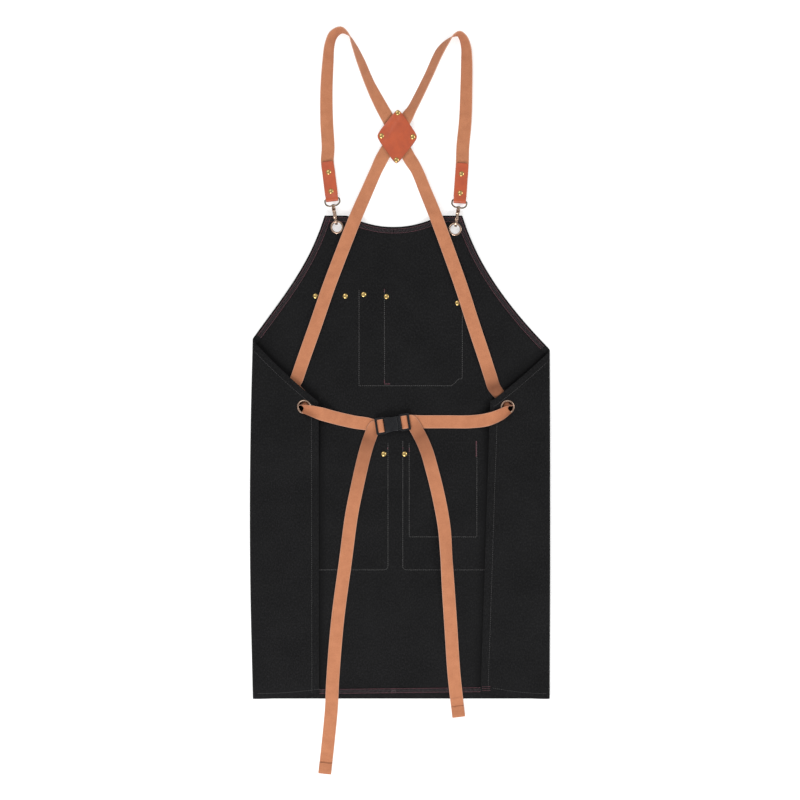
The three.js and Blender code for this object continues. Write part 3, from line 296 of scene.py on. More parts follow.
def rod(name: str, radius: float, start: Sequence[float], end: Sequence[float], sides: int = 24) -> bpy.types.Object:
    """Adds a round bar between two points, in millimetres, with softened ends."""
    a, b = Vector(start) * MM, Vector(end) * MM
    deselect()
    bpy.ops.mesh.primitive_cylinder_add(vertices=sides, radius=radius * MM, depth=(b - a).length)
    piece = added(name)
    turn = (b - a).to_track_quat("Z", "Y").to_matrix().to_4x4()
    settle(piece, Matrix.Translation((a + b) / 2) @ turn)
    return piece


def joined(name: str, pieces: Sequence[bpy.types.Object]) -> bpy.types.Object:
    """Joins several parts of one made piece into one object."""
    deselect()
    for piece in pieces:
        piece.select_set(True)
    bpy.context.view_layer.objects.active = pieces[0]
    bpy.ops.object.join()
    return added(name)


def carve(piece: bpy.types.Object, tool: bpy.types.Object, how: str = "DIFFERENCE") -> None:
    """Cuts a piece with a tool, which is then removed."""
    modify(piece, "BOOLEAN", object=tool, operation=how, solver="EXACT")
    bpy.data.objects.remove(tool)


def woven_grid(name: str, columns: int, rows: int,
               place: Callable[[Points, Points], tuple[Points, Points]]) -> bpy.types.Object:
    """Lays a grid of quads on a surface and gives it a UV map in metres.

    Args:
        name: The piece's name.
        columns: How many faces across.
        rows: How many faces along.
        place: Takes each vertex's column and row number, and gives its place and its flat place in millimetres.

    Returns:
        The sheet, with no thickness yet.
    """
    deselect()
    bpy.ops.mesh.primitive_grid_add(x_subdivisions=columns, y_subdivisions=rows, size=1)
    piece = added(name)
    mesh = piece.data
    flat = np.empty(len(mesh.vertices) * 3)
    mesh.vertices.foreach_get("co", flat)
    flat = flat.reshape(-1, 3)
    i = np.rint((flat[:, 0] + 0.5) * columns).astype(int)
    j = np.rint((flat[:, 1] + 0.5) * rows).astype(int)
    points, cut = place(i, j)
    mesh.vertices.foreach_set("co", world(points).ravel())
    loops = np.empty(len(mesh.loops), int)
    mesh.loops.foreach_get("vertex_index", loops)
    mesh.uv_layers.active.data.foreach_set("uv", (cut[loops] * MM).ravel())
    mesh.update()
    return piece


def set_shade(piece: bpy.types.Object, shade: Points) -> None:
    """Stores how deep in shade each vertex of a cloth lies, from 0 to 1."""
    layer = piece.data.attributes.new("shade", "FLOAT", "POINT")
    layer.data.foreach_set("value", np.asarray(shade, np.float32))


# Materials


def paint(red: float, green: float, blue: float) -> tuple[float, float, float, float]:
    """Turns a colour as a picture stores it, from 0 to 255, into the shader's linear colour."""
    def linear(value: float) -> float:
        """Undoes the picture's gamma for one channel."""
        share = value / 255
        return share / 12.92 if share <= 0.04045 else ((share + 0.055) / 1.055) ** 2.4
    return linear(red), linear(green), linear(blue), 1.0


class Board:
    """One material's nodes. Each call adds a node, sets its values and joins its inputs."""

    def __init__(self, name: str) -> None:
        """Starts a material that holds only its surface shader."""
        self.material = bpy.data.materials.new(name)
        self.material.use_nodes = True
        self.tree = self.material.node_tree
        self.tree.nodes.clear()
        self.shader = self.tree.nodes.new("ShaderNodeBsdfPrincipled")
        output = self.tree.nodes.new("ShaderNodeOutputMaterial")
        self.tree.links.new(self.shader.outputs[0], output.inputs["Surface"])

    def add(self, kind: str, joins: dict | None = None, out: int | str = 0, **settings: object) -> Socket:
        """Adds a node.

        Args:
            kind: The node's type, without its common beginning.
            joins: Values or output sockets by the name or number of the input.
            out: Which output to give back.
            **settings: The node's own settings.

        Returns:
            The output socket.
        """
        node = self.tree.nodes.new("ShaderNode" + kind)
        for key, value in settings.items():
            setattr(node, key, value)
        for key, value in (joins or {}).items():
            self.join(node.inputs[key], value)
        return node.outputs[out]

    def join(self, socket: Socket, value: Value) -> None:
        """Links an output to an input, or sets the input's value."""
        if isinstance(value, bpy.types.NodeSocket):
            self.tree.links.new(value, socket)
        else:
            socket.default_value = value

    def surface(self, **values: Value) -> bpy.types.Material:
        """Joins the shader's own sockets, written with _ for a space, and gives the material back."""
        for key, value in values.items():
            self.join(self.shader.inputs[key.replace("_", " ")], value)
        return self.material

    def maths(self, operation: str, *values: Value) -> Socket:
        """Adds a sum of one to three values."""
        return self.add("Math", dict(enumerate(values)), operation=operation)

    def object_place(self) -> Socket:
        """The object's own coordinates, in metres."""
        return self.add("TexCoord", out="Object")

    def cloth_place(self) -> Socket:
        """The piece's own UV map, in metres of flat cloth."""
        return self.add("UVMap", uv_map="UVMap")

    def shade(self) -> Socket:
        """The painted shade from the piece's own attribute: how deep in a fold or under another layer it lies, from 0
        to 1.
        """
        return self.add("Attribute", out="Fac", attribute_name="shade")

    def stretched(self, place: Socket, factor: float) -> Socket:
        """Draws a place's pattern out along the warp by a factor, or along the weft when it is below one."""
        return self.add("Mapping", {"Vector": place, "Scale": (1.0, 1 / factor, 1.0)})

    def noise(self, place: Socket, size: float, detail: float = 3, rough: float = 0.6) -> Socket:
        """Adds a cloudy pattern whose patches are about a size in millimetres."""
        return self.add("TexNoise", {"Vector": place, "Scale": 1 / (size * MM), "Detail": detail,
                                     "Roughness": rough})

    def bands(self, place: Socket, direction: str, period: float, distortion: float = 0) -> Socket:
        """Adds even waves across one axis, a period in millimetres apart."""
        scale = math.tau / (20 * period * MM)
        return self.add("TexWave", {"Vector": place, "Scale": scale, "Distortion": distortion, "Detail": 1},
                        wave_type="BANDS", bands_direction=direction, wave_profile="SIN")

    def span(self, value: Socket, low: float, high: float, to_low: float = 0, to_high: float = 1) -> Socket:
        """Maps a value's range to another one."""
        return self.add("MapRange", {"Value": value, 1: low, 2: high, 3: to_low, 4: to_high})

    def blend(self, share: Value, first: Value, second: Value) -> Socket:
        """Mixes two colours by a share."""
        return self.add("Mix", {0: share, 6: first, 7: second}, out=2, data_type="RGBA")

    def relief(self, height: Socket, depth: float, strength: float = 1, below: Socket | None = None) -> Socket:
        """Turns a height from 0 to 1 into a bump of a depth in millimetres."""
        joins = {"Height": height, "Distance": depth * MM, "Strength": strength}
        if below is not None:
            joins["Normal"] = below
        return self.add("Bump", joins)


@dataclass(frozen=True)
class CanvasFinish:
    """Heavy near-black canvas in a plain weave, with paler flecks where the yarn is worn, and painted shade that
    darkens it beside the folded-in panels' edges.
    """

    name: str = "canvas"
    colour: tuple = paint(3, 3, 4)
    fleck: tuple = paint(45, 45, 46)
    thread: float = 1.0
    patch: float = 60

    def material(self) -> bpy.types.Material:
        """Builds the canvas."""
        board = Board(self.name)
        place = board.cloth_place()
        warp = board.bands(place, "X", self.thread, 0.4)
        weft = board.bands(place, "Y", self.thread * 1.1, 0.4)
        weave = board.maths("MULTIPLY", warp, weft)
        slub = board.noise(board.stretched(place, 0.5), 2.2, 3)
        fleck = board.span(board.noise(board.stretched(place, 1.6), 2.0, 3), 0.45, 0.72)
        cloud = board.span(board.noise(place, self.patch, 3), 0.35, 0.65, 0, 0.1)
        share = board.maths("ADD", board.maths("MULTIPLY", fleck, 0.42), cloud)
        share = board.maths("ADD", share, board.maths("MULTIPLY", board.span(slub, 0.42, 0.7), 0.34))
        # Painted shade: the fleck share fades where the cloth's shade attribute is high, so the canvas is painted
        # darker beside the folded-in panels' edges.
        wear_and_painted_shade = board.maths("MULTIPLY", share, board.maths("SUBTRACT", 1.0, board.shade()))
        colour = board.blend(board.maths("MULTIPLY", wear_and_painted_shade, board.span(weave, 0, 1, 0.6, 1.1)), self.colour,
                             self.fleck)
        low = board.relief(board.noise(place, 7, 3), 0.25, 0.5)
        return board.surface(Base_Color=colour, Roughness=0.92, Sheen_Weight=0.03, Sheen_Roughness=0.6,
                             Specular_IOR_Level=0.12, Normal=board.relief(weave, 0.22, 0.7, low))


@dataclass(frozen=True)
class WebbingFinish:
    """Tan cotton webbing: fine ribs across, warp yarns along, paler selvedges, and painted shade where it runs under
    the panels, through the grommets, out from under the buckle and at its turned-back end.
    """

    name: str = "webbing"
    colour: tuple = paint(190, 126, 90)
    dark: tuple = paint(150, 90, 60)
    # The colour of the painted shade where the webbing runs under other parts.
    deep: tuple = paint(96, 52, 30)
    edge: tuple = paint(196, 150, 128)
    half: float = 10.25
    rib: float = 1.15
    yarn: float = 0.72

    def material(self) -> bpy.types.Material:
        """Builds the webbing."""
        board = Board(self.name)
        place = board.cloth_place()
        rib = board.bands(place, "Y", self.rib, 0.3)
        yarn = board.bands(place, "X", self.yarn, 0.2)
        weave = board.maths("MULTIPLY", rib, yarn)
        cloud = board.span(board.noise(place, 14, 4), 0.36, 0.66)
        speck = board.span(board.noise(place, 1.6, 2), 0.45, 0.75)
        share = board.maths("ADD", board.maths("MULTIPLY", cloud, 0.3), board.maths("MULTIPLY", speck, 0.35))
        body = board.blend(share, self.colour, self.dark)
        shaded = board.blend(board.maths("MULTIPLY", board.maths("SUBTRACT", 1.0, weave), 0.22), body, self.dark)
        across = board.maths("ABSOLUTE", board.add("SeparateXYZ", {0: place}))
        rim = board.span(across, (self.half - 1.0) * MM, (self.half - 0.3) * MM)
        edged = board.blend(board.maths("MULTIPLY", rim, 0.75), shaded, self.edge)
        # Painted shade: the colour darkens towards deep by the strap's shade attribute, where it runs under other
        # parts.
        colour = board.blend(board.shade(), edged, self.deep)
        return board.surface(Base_Color=colour, Roughness=0.84, Sheen_Weight=0.1, Sheen_Roughness=0.5,
                             Specular_IOR_Level=0.3, Normal=board.relief(weave, 0.3, 0.8))


@dataclass(frozen=True)
class LeatherFinish:
    """Terracotta leather with a fine pebble, cloudy dye and a semi-gloss top."""

    name: str = "leather"
    colour: tuple = paint(178, 82, 48)
    deep: tuple = paint(148, 64, 38)
    rough: float = 0.38
    pebble: float = 1.1

    def material(self) -> bpy.types.Material:
        """Builds the leather."""
        board = Board(self.name)
        place = board.object_place()
        cloud = board.span(board.noise(place, 16, 4), 0.34, 0.68)
        grain = board.add("TexVoronoi", {"Vector": place, "Scale": 1 / (self.pebble * MM)}, feature="F1")
        fine = board.noise(place, 0.7, 3)
        colour = board.blend(board.maths("ADD", board.maths("MULTIPLY", cloud, 0.6),
                                         board.maths("MULTIPLY", fine, 0.25)), self.colour, self.deep)
        low = board.relief(board.noise(place, 9, 2), 0.3, 0.35)
        rough = board.span(cloud, 0, 1, self.rough - 0.06, self.rough + 0.08)
        return board.surface(Base_Color=colour, Roughness=rough, Specular_IOR_Level=0.4,
                             Normal=board.relief(grain, 0.12, 0.5, low))


@dataclass(frozen=True)
class MetalFinish:
    """Cast or stamped metal, worn bright in places and stained in others."""

    name: str
    colour: tuple
    stain: tuple
    rough: float
    patch: float = 2.2
    dents: float = 0.05

    def material(self) -> bpy.types.Material:
        """Builds the metal."""
        board = Board(self.name)
        place = board.object_place()
        cloud = board.span(board.noise(place, self.patch, 4), 0.38, 0.68)
        rough = board.span(cloud, 0, 1, self.rough - 0.07, self.rough + 0.14)
        return board.surface(Base_Color=board.blend(cloud, self.colour, self.stain), Metallic=1.0, Roughness=rough,
                             Normal=board.relief(board.noise(place, self.patch * 0.7, 3), self.dents, 0.6))


@dataclass(frozen=True)
class PlasticFinish:
    """Black moulded plastic with a fine spark-eroded grain and softly shining edges."""

    name: str = "plastic"
    colour: tuple = paint(9, 10, 13)
    rough: float = 0.3

    def material(self) -> bpy.types.Material:
        """Builds the plastic."""
        board = Board(self.name)
        place = board.object_place()
        colour = board.blend(board.span(board.noise(place, 3, 2), 0.3, 0.7, 0, 0.35), self.colour, paint(24, 26, 32))
        rough = board.span(board.noise(place, 5, 3), 0.3, 0.7, self.rough - 0.06, self.rough + 0.1)
        return board.surface(Base_Color=colour, Roughness=rough, Specular_IOR_Level=0.3,
                             Normal=board.relief(board.noise(place, 0.35, 2), 0.03, 0.5))


@dataclass(frozen=True)
class ThreadFinish:
    """Twisted sewing thread."""

    name: str
    colour: tuple
    dark: tuple

    def material(self) -> bpy.types.Material:
        """Builds the thread."""
        board = Board(self.name)
        place = board.object_place()
        colour = board.blend(board.span(board.noise(place, 1.4, 2), 0.4, 0.62), self.colour, self.dark)
        twist = board.add("TexWave", {"Vector": place, "Scale": 1400, "Distortion": 1.0}, wave_type="BANDS",
                          bands_direction="DIAGONAL")
        return board.surface(Base_Color=colour, Roughness=0.7, Sheen_Weight=0.2,
                             Normal=board.relief(twist, 0.05, 0.6))


@dataclass(frozen=True)
class FloorFinish:
    """The pale, plain surface that the apron lies on."""

    name: str = "floor"
    colour: tuple = (0.6, 0.6, 0.6, 1)
    glow: float = 0.5

    def material(self) -> bpy.types.Material:
        """Builds the floor."""
        board = Board(self.name)
        shade = board.span(board.noise(board.object_place(), 400, 2), 0, 1, 0.0, 0.02)
        return board.surface(Base_Color=board.blend(shade, self.colour, (0.55, 0.55, 0.55, 1)), Roughness=0.9,
                             Specular_IOR_Level=0.1, Emission_Color=(1, 1, 1, 1), Emission_Strength=self.glow)


class Slot(Enum):
    """The record's material slots."""

    CANVAS = "canvas"
    WEBBING = "webbing"
    LEATHER = "leather"
    BRASS = "brass"
    ANTIQUE = "antique_metal"
    BRONZE = "bronze"
    PLASTIC = "plastic"


RECIPES = {
    "canvas": CanvasFinish(),
    "webbing": WebbingFinish(),
    "leather": LeatherFinish(),
    "leather_edge": LeatherFinish("leather_edge", paint(116, 48, 34), paint(82, 34, 26), 0.6, 0.8),
    "brass": MetalFinish("brass", paint(200, 172, 112), paint(150, 124, 74), 0.27, 1.6, 0.03),
    "antique": MetalFinish("antique_metal", paint(184, 160, 142), paint(128, 102, 86), 0.3),
    "bronze": MetalFinish("bronze", paint(132, 120, 104), paint(84, 72, 60), 0.32),
    "plastic": PlasticFinish(),
    "grey_thread": ThreadFinish("grey_thread", paint(96, 95, 94), paint(62, 61, 61)),
    "copper": MetalFinish("worn_copper", paint(150, 104, 88), paint(98, 60, 50), 0.4),
    "dark_thread": ThreadFinish("dark_thread", paint(60, 59, 59), paint(40, 39, 40)),
    "red_pale": ThreadFinish("pale_burgundy_thread", paint(58, 34, 42), paint(38, 28, 32)),
    "red_thread": ThreadFinish("burgundy_thread", paint(98, 38, 52), paint(54, 24, 34)),
    "tan_thread": ThreadFinish("tan_thread", paint(176, 112, 78), paint(140, 84, 56)),
}


class Finishes:
    """Every material, made once, each under its recipe's name."""

    def __init__(self) -> None:
        """Makes each recipe's material."""
        for name, recipe in RECIPES.items():
            setattr(self, name, recipe.material())


def finish_piece(piece: bpy.types.Object, material: bpy.types.Material, body: str = "root",
                 stands_for: Sequence[str] = ()) -> bpy.types.Object:
    """Gives a piece its material and its body, and reports it.

    Args:
        piece: The finished mesh.
        material: What it is made of.
        body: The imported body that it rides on.
        stands_for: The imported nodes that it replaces.

    Returns:
        The piece.
    """
    piece.data.materials.clear()
    piece.data.materials.append(material)
    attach(piece, body)
    if stands_for:
        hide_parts(*stands_for)
    log.info("%s: %d faces on %s", piece.name, len(piece.data.polygons), body)
    return piece


# The cloth's shape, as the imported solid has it


@dataclass(frozen=True)
class Box:
    """A flat rectangle on the cloth, from the middle line and from the bib's top."""

    left: float
    right: float
    top: float
    bottom: float


CHEST = Box(-56, 110, -114, -269)
LEFT_POCKET = Box(-197, -7, -352, -559)
RIGHT_POCKET = Box(13, 203, -352, -559)
PHONE_POCKET = Box(PHONE.left, PHONE.left + PHONE.width, PHONE.top, PHONE.bottom)
TOOL_LOOP = Box(-131, -68, -118, -134)


@dataclass(frozen=True)
class Crease:
    """A soft ridge in the cloth, from one point to another."""

    start: tuple[float, float]
    end: tuple[float, float]
    width: float
    height: float


@dataclass(frozen=True)
class Drape:
    """How the cut cloth lies: over its pockets, folded at both sides, with the panels turned in."""

    cloth: float = 1.2
    gap: float = 0.3
    laid_gap: float = 0.45
    web_width: float = 20.5
    web: float = 1.6
    leather: float = 1.6
    height: float = 760
    hip_half: float = 340
    bib_half: float = 108
    neck_half: float = 73
    neck_depth: float = 17.5
    armhole_drop: float = 290
    armhole_start: float = 0.375
    fold: dict = sides(221, 245.5)
    bow: dict = sides(4.5, 0.5)
    bow_start: float = 185
    radius: float = 3.5
    edge_top: dict = sides(118, 152.8)
    edge_bottom: dict = sides(117.5, 137.6)
    panel_gap: float = 0.9
    panel_drop: dict = sides(8.5, 1)
    hem_rise: dict = sides(6.5, 9)
    margin: float = 36
    run: float = 110
    corner: tuple = (32, 85)
    level: tuple = (34, 62)
    fall: tuple = (6, 50)
    strap_zone: tuple = (48, 120)
    pads: tuple = (CHEST, LEFT_POCKET, RIGHT_POCKET, TOOL_LOOP)
    bib_grommet: dict = sides((-88.8, -17.8), (96.9, -20.9))
    waist_grommet: dict = sides((-140.6, -300.5), (179.4, -300.8))
    bib_middle: float = 6.2
    main_creases: tuple = (
        Crease((-96, -60), (-40, -210), 26, 0.5), Crease((30, -40), (96, -128), 30, 0.4),
        Crease((-100, -330), (90, -345), 22, 0.35), Crease((-95, -585), (120, -640), 34, 0.7),
        Crease((-60, -640), (20, -742), 26, 0.6), Crease((60, -590), (110, -730), 24, 0.5),
        Crease((-210, -236), (-120, -250), 18, 0.5), Crease((150, -200), (232, -262), 20, 0.5),
    )
    panel_creases: tuple = (
        Crease((-205, -470), (-130, -560), 24, 1.3), Crease((-215, -560), (-135, -650), 20, 1.5),
        Crease((-200, -640), (-150, -740), 18, 1.6), Crease((-160, -400), (-128, -520), 20, 0.9),
        Crease((232, -420), (170, -520), 26, 1.1), Crease((236, -560), (160, -700), 28, 1.2),
        Crease((215, -380), (222, -700), 22, 0.7), Crease((-140, -600), (-132, -740), 16, 1.0),
    )

    @property
    def plateau(self) -> float:
        """The height of the main layer where it lies on a pocket."""
        return 2 * (self.cloth + self.gap)

    def creases(self, table: Sequence[Crease], x: Points, y: Points) -> Points:
        """The height that a table's ridges add at each point."""
        rise = np.zeros(np.shape(x))
        for crease in table:
            start, end = np.array(crease.start), np.array(crease.end)
            run = end - start
            share = ((x - start[0]) * run[0] + (y - start[1]) * run[1]) / (run @ run)
            held = np.clip(share, 0, 1)
            away = np.hypot(x - start[0] - held * run[0], y - start[1] - held * run[1])
            fade = np.sin(np.pi * np.clip(share * 0.8 + 0.1, 0, 1))
            rise = rise + crease.height * fade * np.exp(-((away / crease.width) ** 2))
        return rise

    def floor(self, x: Points, y: Points) -> Points:
        """The height of the main layer's underside."""
        rise = np.zeros(np.shape(x))
        for pad in self.pads:
            aside = np.maximum(np.maximum(pad.left - x, 0), x - pad.right)
            along = np.maximum(np.maximum(pad.bottom - y, 0), y - pad.top)
            rise = np.maximum(rise, self.plateau * near(np.hypot(aside, along), self.margin, self.margin + self.run))
        for gx, gy in self.bib_grommet.values():
            lift = self.bib_middle - self.cloth / 2
            rise = np.maximum(rise, lift * near(np.hypot(x - gx, y - gy), *self.corner))
        return rise

    def top(self, x: Points, y: Points) -> Points:
        """The height of the main layer's upper face."""
        return self.floor(x, y) + self.cloth

    def fold_line(self, side: Side, y: Points) -> Points:
        """How far out from the middle line a side is folded."""
        share = np.clip((-y - self.bow_start) / (self.height - self.bow_start), 0, 1)
        return self.fold[side] + self.bow[side] * np.sin(np.pi * share)

    def panel_edge(self, side: Side, y: Points) -> Points:
        """How far out the folded-in panel's inner edge lies."""
        share = np.clip((-y - self.armhole_drop) / (self.height - self.armhole_drop), 0, 1)
        return self.edge_top[side] + (self.edge_bottom[side] - self.edge_top[side]) * share

    def top_edge(self, half: Points) -> Points:
        """The flat cloth's top edge: neckline, bib corner and armhole."""
        half = np.minimum(half, self.hip_half)
        radius = (self.neck_half**2 + self.neck_depth**2) / (2 * self.neck_depth)
        neck = radius - self.neck_depth - np.sqrt(np.maximum(radius**2 - half**2, 0))
        share = np.maximum((half - self.bib_half) / (self.hip_half - self.bib_half), 0)
        bend = 1 - self.armhole_start
        root = np.sqrt(self.armhole_start**2 + 4 * bend * share) - self.armhole_start
        armhole = -self.armhole_drop * root / (2 * bend)
        return np.where(half < self.neck_half, neck, np.where(half <= self.bib_half, 0, armhole))

    def resting_panel(self, side: Side, x: Points, y: Points) -> Points:
        """The folded-in panel's middle height before its grommet levels it."""
        beyond = self.fold_line(side, y) - self.radius - np.abs(x)
        low = self.cloth + self.panel_gap
        strap = near(np.abs(y - self.waist_grommet[side][1]), *self.strap_zone)
        share = np.maximum(strap, near(beyond, 0, self.fold[side] - self.edge_top[side]))
        return self.floor(x, y) + self.cloth / 2 + low + (2 * self.radius - low) * share

    def panel_middle(self, side: Side, x: Points, y: Points) -> Points:
        """The folded-in panel's middle height, level round its grommet."""
        gx, gy = self.waist_grommet[side]
        level = near(np.hypot(x - gx, y - gy), *self.level)
        rest = self.resting_panel(side, x, y)
        return rest + (self.resting_panel(side, np.float64(gx), np.float64(gy)) - rest) * level

    def spans(self, side: Side, y: Points) -> tuple[Points, Points, Points]:
        """The flat distances from the middle line where the fold starts, where it ends, and of the cut edge."""
        start = self.fold_line(side, y) - self.radius
        turned = start + math.pi * self.radius
        return start, turned, turned + start - self.panel_edge(side, y)

    def slide(self, side: Side, half: Points, y: Points) -> Points:
        """How far the turned cloth has slid down along its fold, at a flat distance from the middle line."""
        start = self.spans(side, y)[0]
        share = np.clip((half - self.bib_half) / (start - self.bib_half), 0, 1)
        return self.panel_drop[side] * share**4

    def place(self, side: Side, half: Points, y: Points, lift: Points = 0.0) -> Points:
        """Folds a flat point of the cloth into its place.

        Args:
            side: The half that the point is on.
            half: Its flat distance from the middle line.
            y: Its place along the cloth.
            lift: How far it stands off the middle of the thickness, towards the inside face.

        Returns:
            The point in millimetres, one row each.
        """
        half, y, lift = np.broadcast_arrays(np.asarray(half, float), np.asarray(y, float), np.asarray(lift, float))
        start, turned, _ = self.spans(side, y)
        sign = side.value
        ripple = self.creases(self.main_creases, sign * half, y)
        flat = np.stack([sign * half, y, self.floor(sign * half, y) + self.cloth / 2 + lift + ripple], -1)
        angle = np.clip((half - start) / self.radius, 0, np.pi)
        base = self.floor(sign * start, y) + self.cloth / 2
        arm = self.radius - lift
        bent = np.stack([sign * (start + arm * np.sin(angle)), y, base + self.radius - arm * np.cos(angle)], -1)
        x = sign * (start - (half - turned))
        puff = self.creases(self.panel_creases, x, y)
        over = np.stack([x, y, self.panel_middle(side, x, y) - lift + puff * near(start - np.abs(x), 12, 0)], -1)
        zone = (half > start).astype(int) + (half > turned)
        return np.where((zone == 0)[..., None], flat, np.where((zone == 1)[..., None], bent, over))


DRAPE = Drape()
ARMHOLE_LEVEL = np.float64(-250.0)
PANEL_LEVEL = np.float64(-300.0)
HEM_LEVEL = np.float64(-750.0)


@dataclass
class Stitch:
    """Small threads laid one after another along a line. One is modelled, and the rest are copies of it."""

    pitch: float = 3.0
    length: float = 2.3
    radius: float = 0.3
    rings: int = 4
    sides: int = 6

    def model(self) -> tuple[Points, list[list[int]]]:
        """Models one stitch along the X axis and takes its mesh."""
        deselect()
        bpy.ops.mesh.primitive_uv_sphere_add(segments=self.sides, ring_count=self.rings, radius=1)
        piece = added("one_stitch")
        settle(piece, Matrix.Rotation(math.pi / 2, 4, "Y"))
        points = np.array([v.co for v in piece.data.vertices])
        faces = [list(p.vertices) for p in piece.data.polygons]
        bpy.data.objects.remove(piece)
        return points, faces

    def sew(self, name: str, stitches: Threads) -> bpy.types.Object:
        """Lays a copy from each first point to each second one.

        Args:
            name: The piece's name.
            stitches: Start, end and upward direction of each stitch, in millimetres.

        Returns:
            All the stitches as one mesh.
        """
        shape, faces = self.model()
        starts, ends, ups = (np.array(part, float) for part in zip(*stitches))
        run = ends - starts
        length = np.linalg.norm(run, axis=1, keepdims=True)
        along = run / length
        side = np.cross(ups, along)
        side /= np.linalg.norm(side, axis=1, keepdims=True)
        rise = np.cross(along, side)
        parts = (shape[None, :, :1] * (along * length / 2)[:, None, :]
                 + shape[None, :, 1:2] * (side * self.radius)[:, None, :]
                 + shape[None, :, 2:] * (rise * self.radius)[:, None, :])
        points = parts + ((starts + ends) / 2)[:, None, :]
        table = [[v + k * len(shape) for v in face] for k in range(len(starts)) for face in faces]
        mesh = bpy.data.meshes.new(name)
        mesh.from_pydata(world(points.reshape(-1, 3)).tolist(), [], table)
        mesh.shade_smooth()
        piece = bpy.data.objects.new(name, mesh)
        bpy.context.scene.collection.objects.link(piece)
        return piece

    def run(self, line: Points, up: Points) -> Threads:
        """Spaces stitches along a line of points.

        Args:
            line: The line's points in millimetres.
            up: The upward direction, one for all or one for each point.

        Returns:
            Start, end and upward direction of each stitch.
        """
        steps = np.linalg.norm(np.diff(line, axis=0), axis=1)
        reach = np.concatenate([[0], np.cumsum(steps)])
        ups = np.broadcast_to(up, line.shape)
        found = []
        for k in range(int(reach[-1] / self.pitch)):
            a = (k + 0.5) * self.pitch - self.length / 2
            ends = np.array([[np.interp(s, reach, line[:, c]) for c in range(3)] for s in (a, a + self.length)])
            normal = np.array([np.interp(a, reach, ups[:, c]) for c in range(3)])
            found.append((ends[0], ends[1], normal))
        return found


def line_between(points: Pairs, step: float = 2.0) -> Points:
    """Divides a line of corners into short steps."""
    corners = np.array(points, float)
    parts = [corners[:1]]
    for a, b in zip(corners[:-1], corners[1:]):
        count = max(1, int(np.linalg.norm(b - a) / step))
        parts.append(a + (b - a) * (np.arange(1, count + 1) / count)[:, None])
    return np.concatenate(parts)


